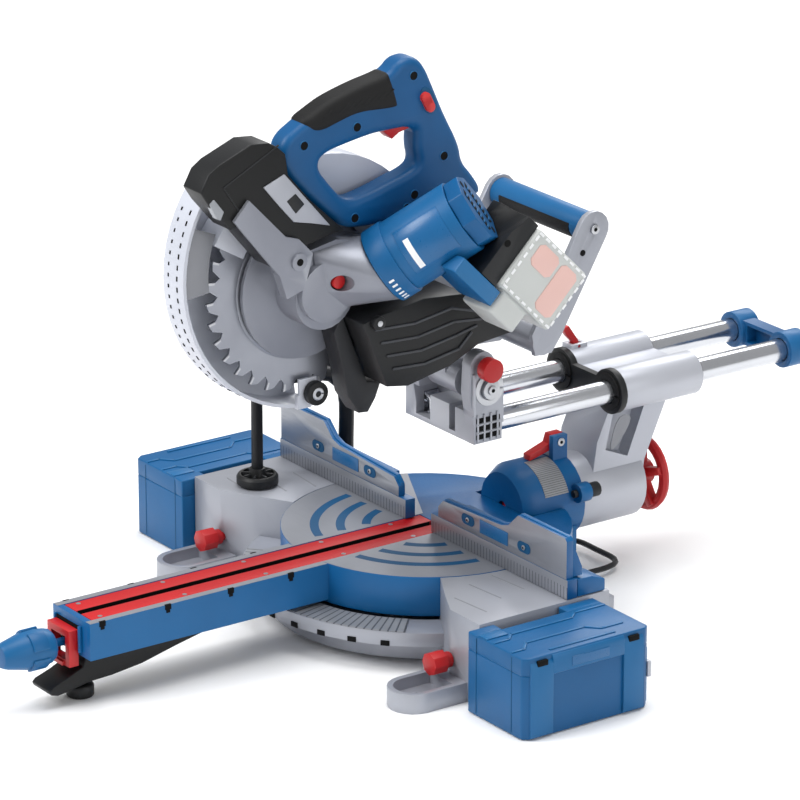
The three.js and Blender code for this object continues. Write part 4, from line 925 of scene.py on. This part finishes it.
# ---- battery ----
def battery_details():
    for number, (u0, u1, v0, v1) in enumerate(((-30, 2, 2, 26), (6, 32, -26, 26))):
        outline = [(u0, v0 + 4), (u0 + 5, v0), (u1 - 5, v0), (u1, v0 + 4), (u1, v1 - 4), (u1 - 5, v1),
                   (u0 + 5, v1), (u0, v1 - 4)]
        Form().prism("X", outline, 29.4, 30.9).place(f"battery_panel_{number}", "battery", GHOST_RED, 0.5,
                                                     move=on_battery())
    dashes = Form()
    for i in range(8):
        y = -36 + 10.2 * i
        dashes.box(30.0, 30.9, y - 2.9, y + 2.9, 29.5, 31.9)
        dashes.box(30.0, 30.9, y - 2.9, y + 2.9, -31.9, -29.5)
    for i in range(6):
        z = -25 + 10 * i
        dashes.box(30.0, 30.9, -39.4, -37.0, z - 2.9, z + 2.9)
        dashes.box(30.0, 30.9, 37.0, 39.4, z - 2.9, z + 2.9)
    dashes.place("battery_dashes", "battery", WHITE_MARK, 0, move=on_battery())
    Form().rod("X", -60, 2, 3.6, 24.8, 25.5, 16).place(
        "battery_foot_hole", "head", SHADOW, 0, move=on_battery())


battery_details()


# ---- floor, light and camera ----
def studio():
    mesh = bpy.data.meshes.new("studio_floor")
    bm = bmesh.new()
    bmesh.ops.create_grid(bm, x_segments=1, y_segments=1, size=14)
    bm.to_mesh(mesh)
    bm.free()
    floor = bpy.data.objects.new("studio_floor", mesh)
    bpy.context.scene.collection.objects.link(floor)
    mesh.materials.append(surface("studio_paper", "#ffffff", "#fafafa", 0.9, grain=6.0, relief=0.02))
    world = bpy.data.worlds.new("studio_world")
    bpy.context.scene.world = world
    world.use_nodes = True
    world.node_tree.nodes["Background"].inputs["Color"].default_value = (1.0, 1.0, 1.0, 1.0)
    world.node_tree.nodes["Background"].inputs["Strength"].default_value = SKY_STRENGTH
    for name, place, size, power in LAMPS:
        light = bpy.data.lights.new(name, "AREA")
        light.size = size
        light.energy = power
        obj = bpy.data.objects.new(name, light)
        bpy.context.scene.collection.objects.link(obj)
        obj.location = place
        obj.rotation_euler = (TARGET - Vector(place)).to_track_quat("-Z", "Y").to_euler()
    camera = bpy.data.objects.new("camera", bpy.data.cameras.new("camera"))
    bpy.context.scene.collection.objects.link(camera)
    camera.data.sensor_width = SENSOR
    camera.data.lens = LENS_MM
    camera.data.clip_end = 50.0
    camera.location = TARGET + EYE.normalized() * EYE_DISTANCE
    camera.rotation_euler = (-EYE).to_track_quat("-Z", "Y").to_euler()
    bpy.context.scene.camera = camera


studio()
bpy.context.scene.view_settings.view_transform = "Standard"
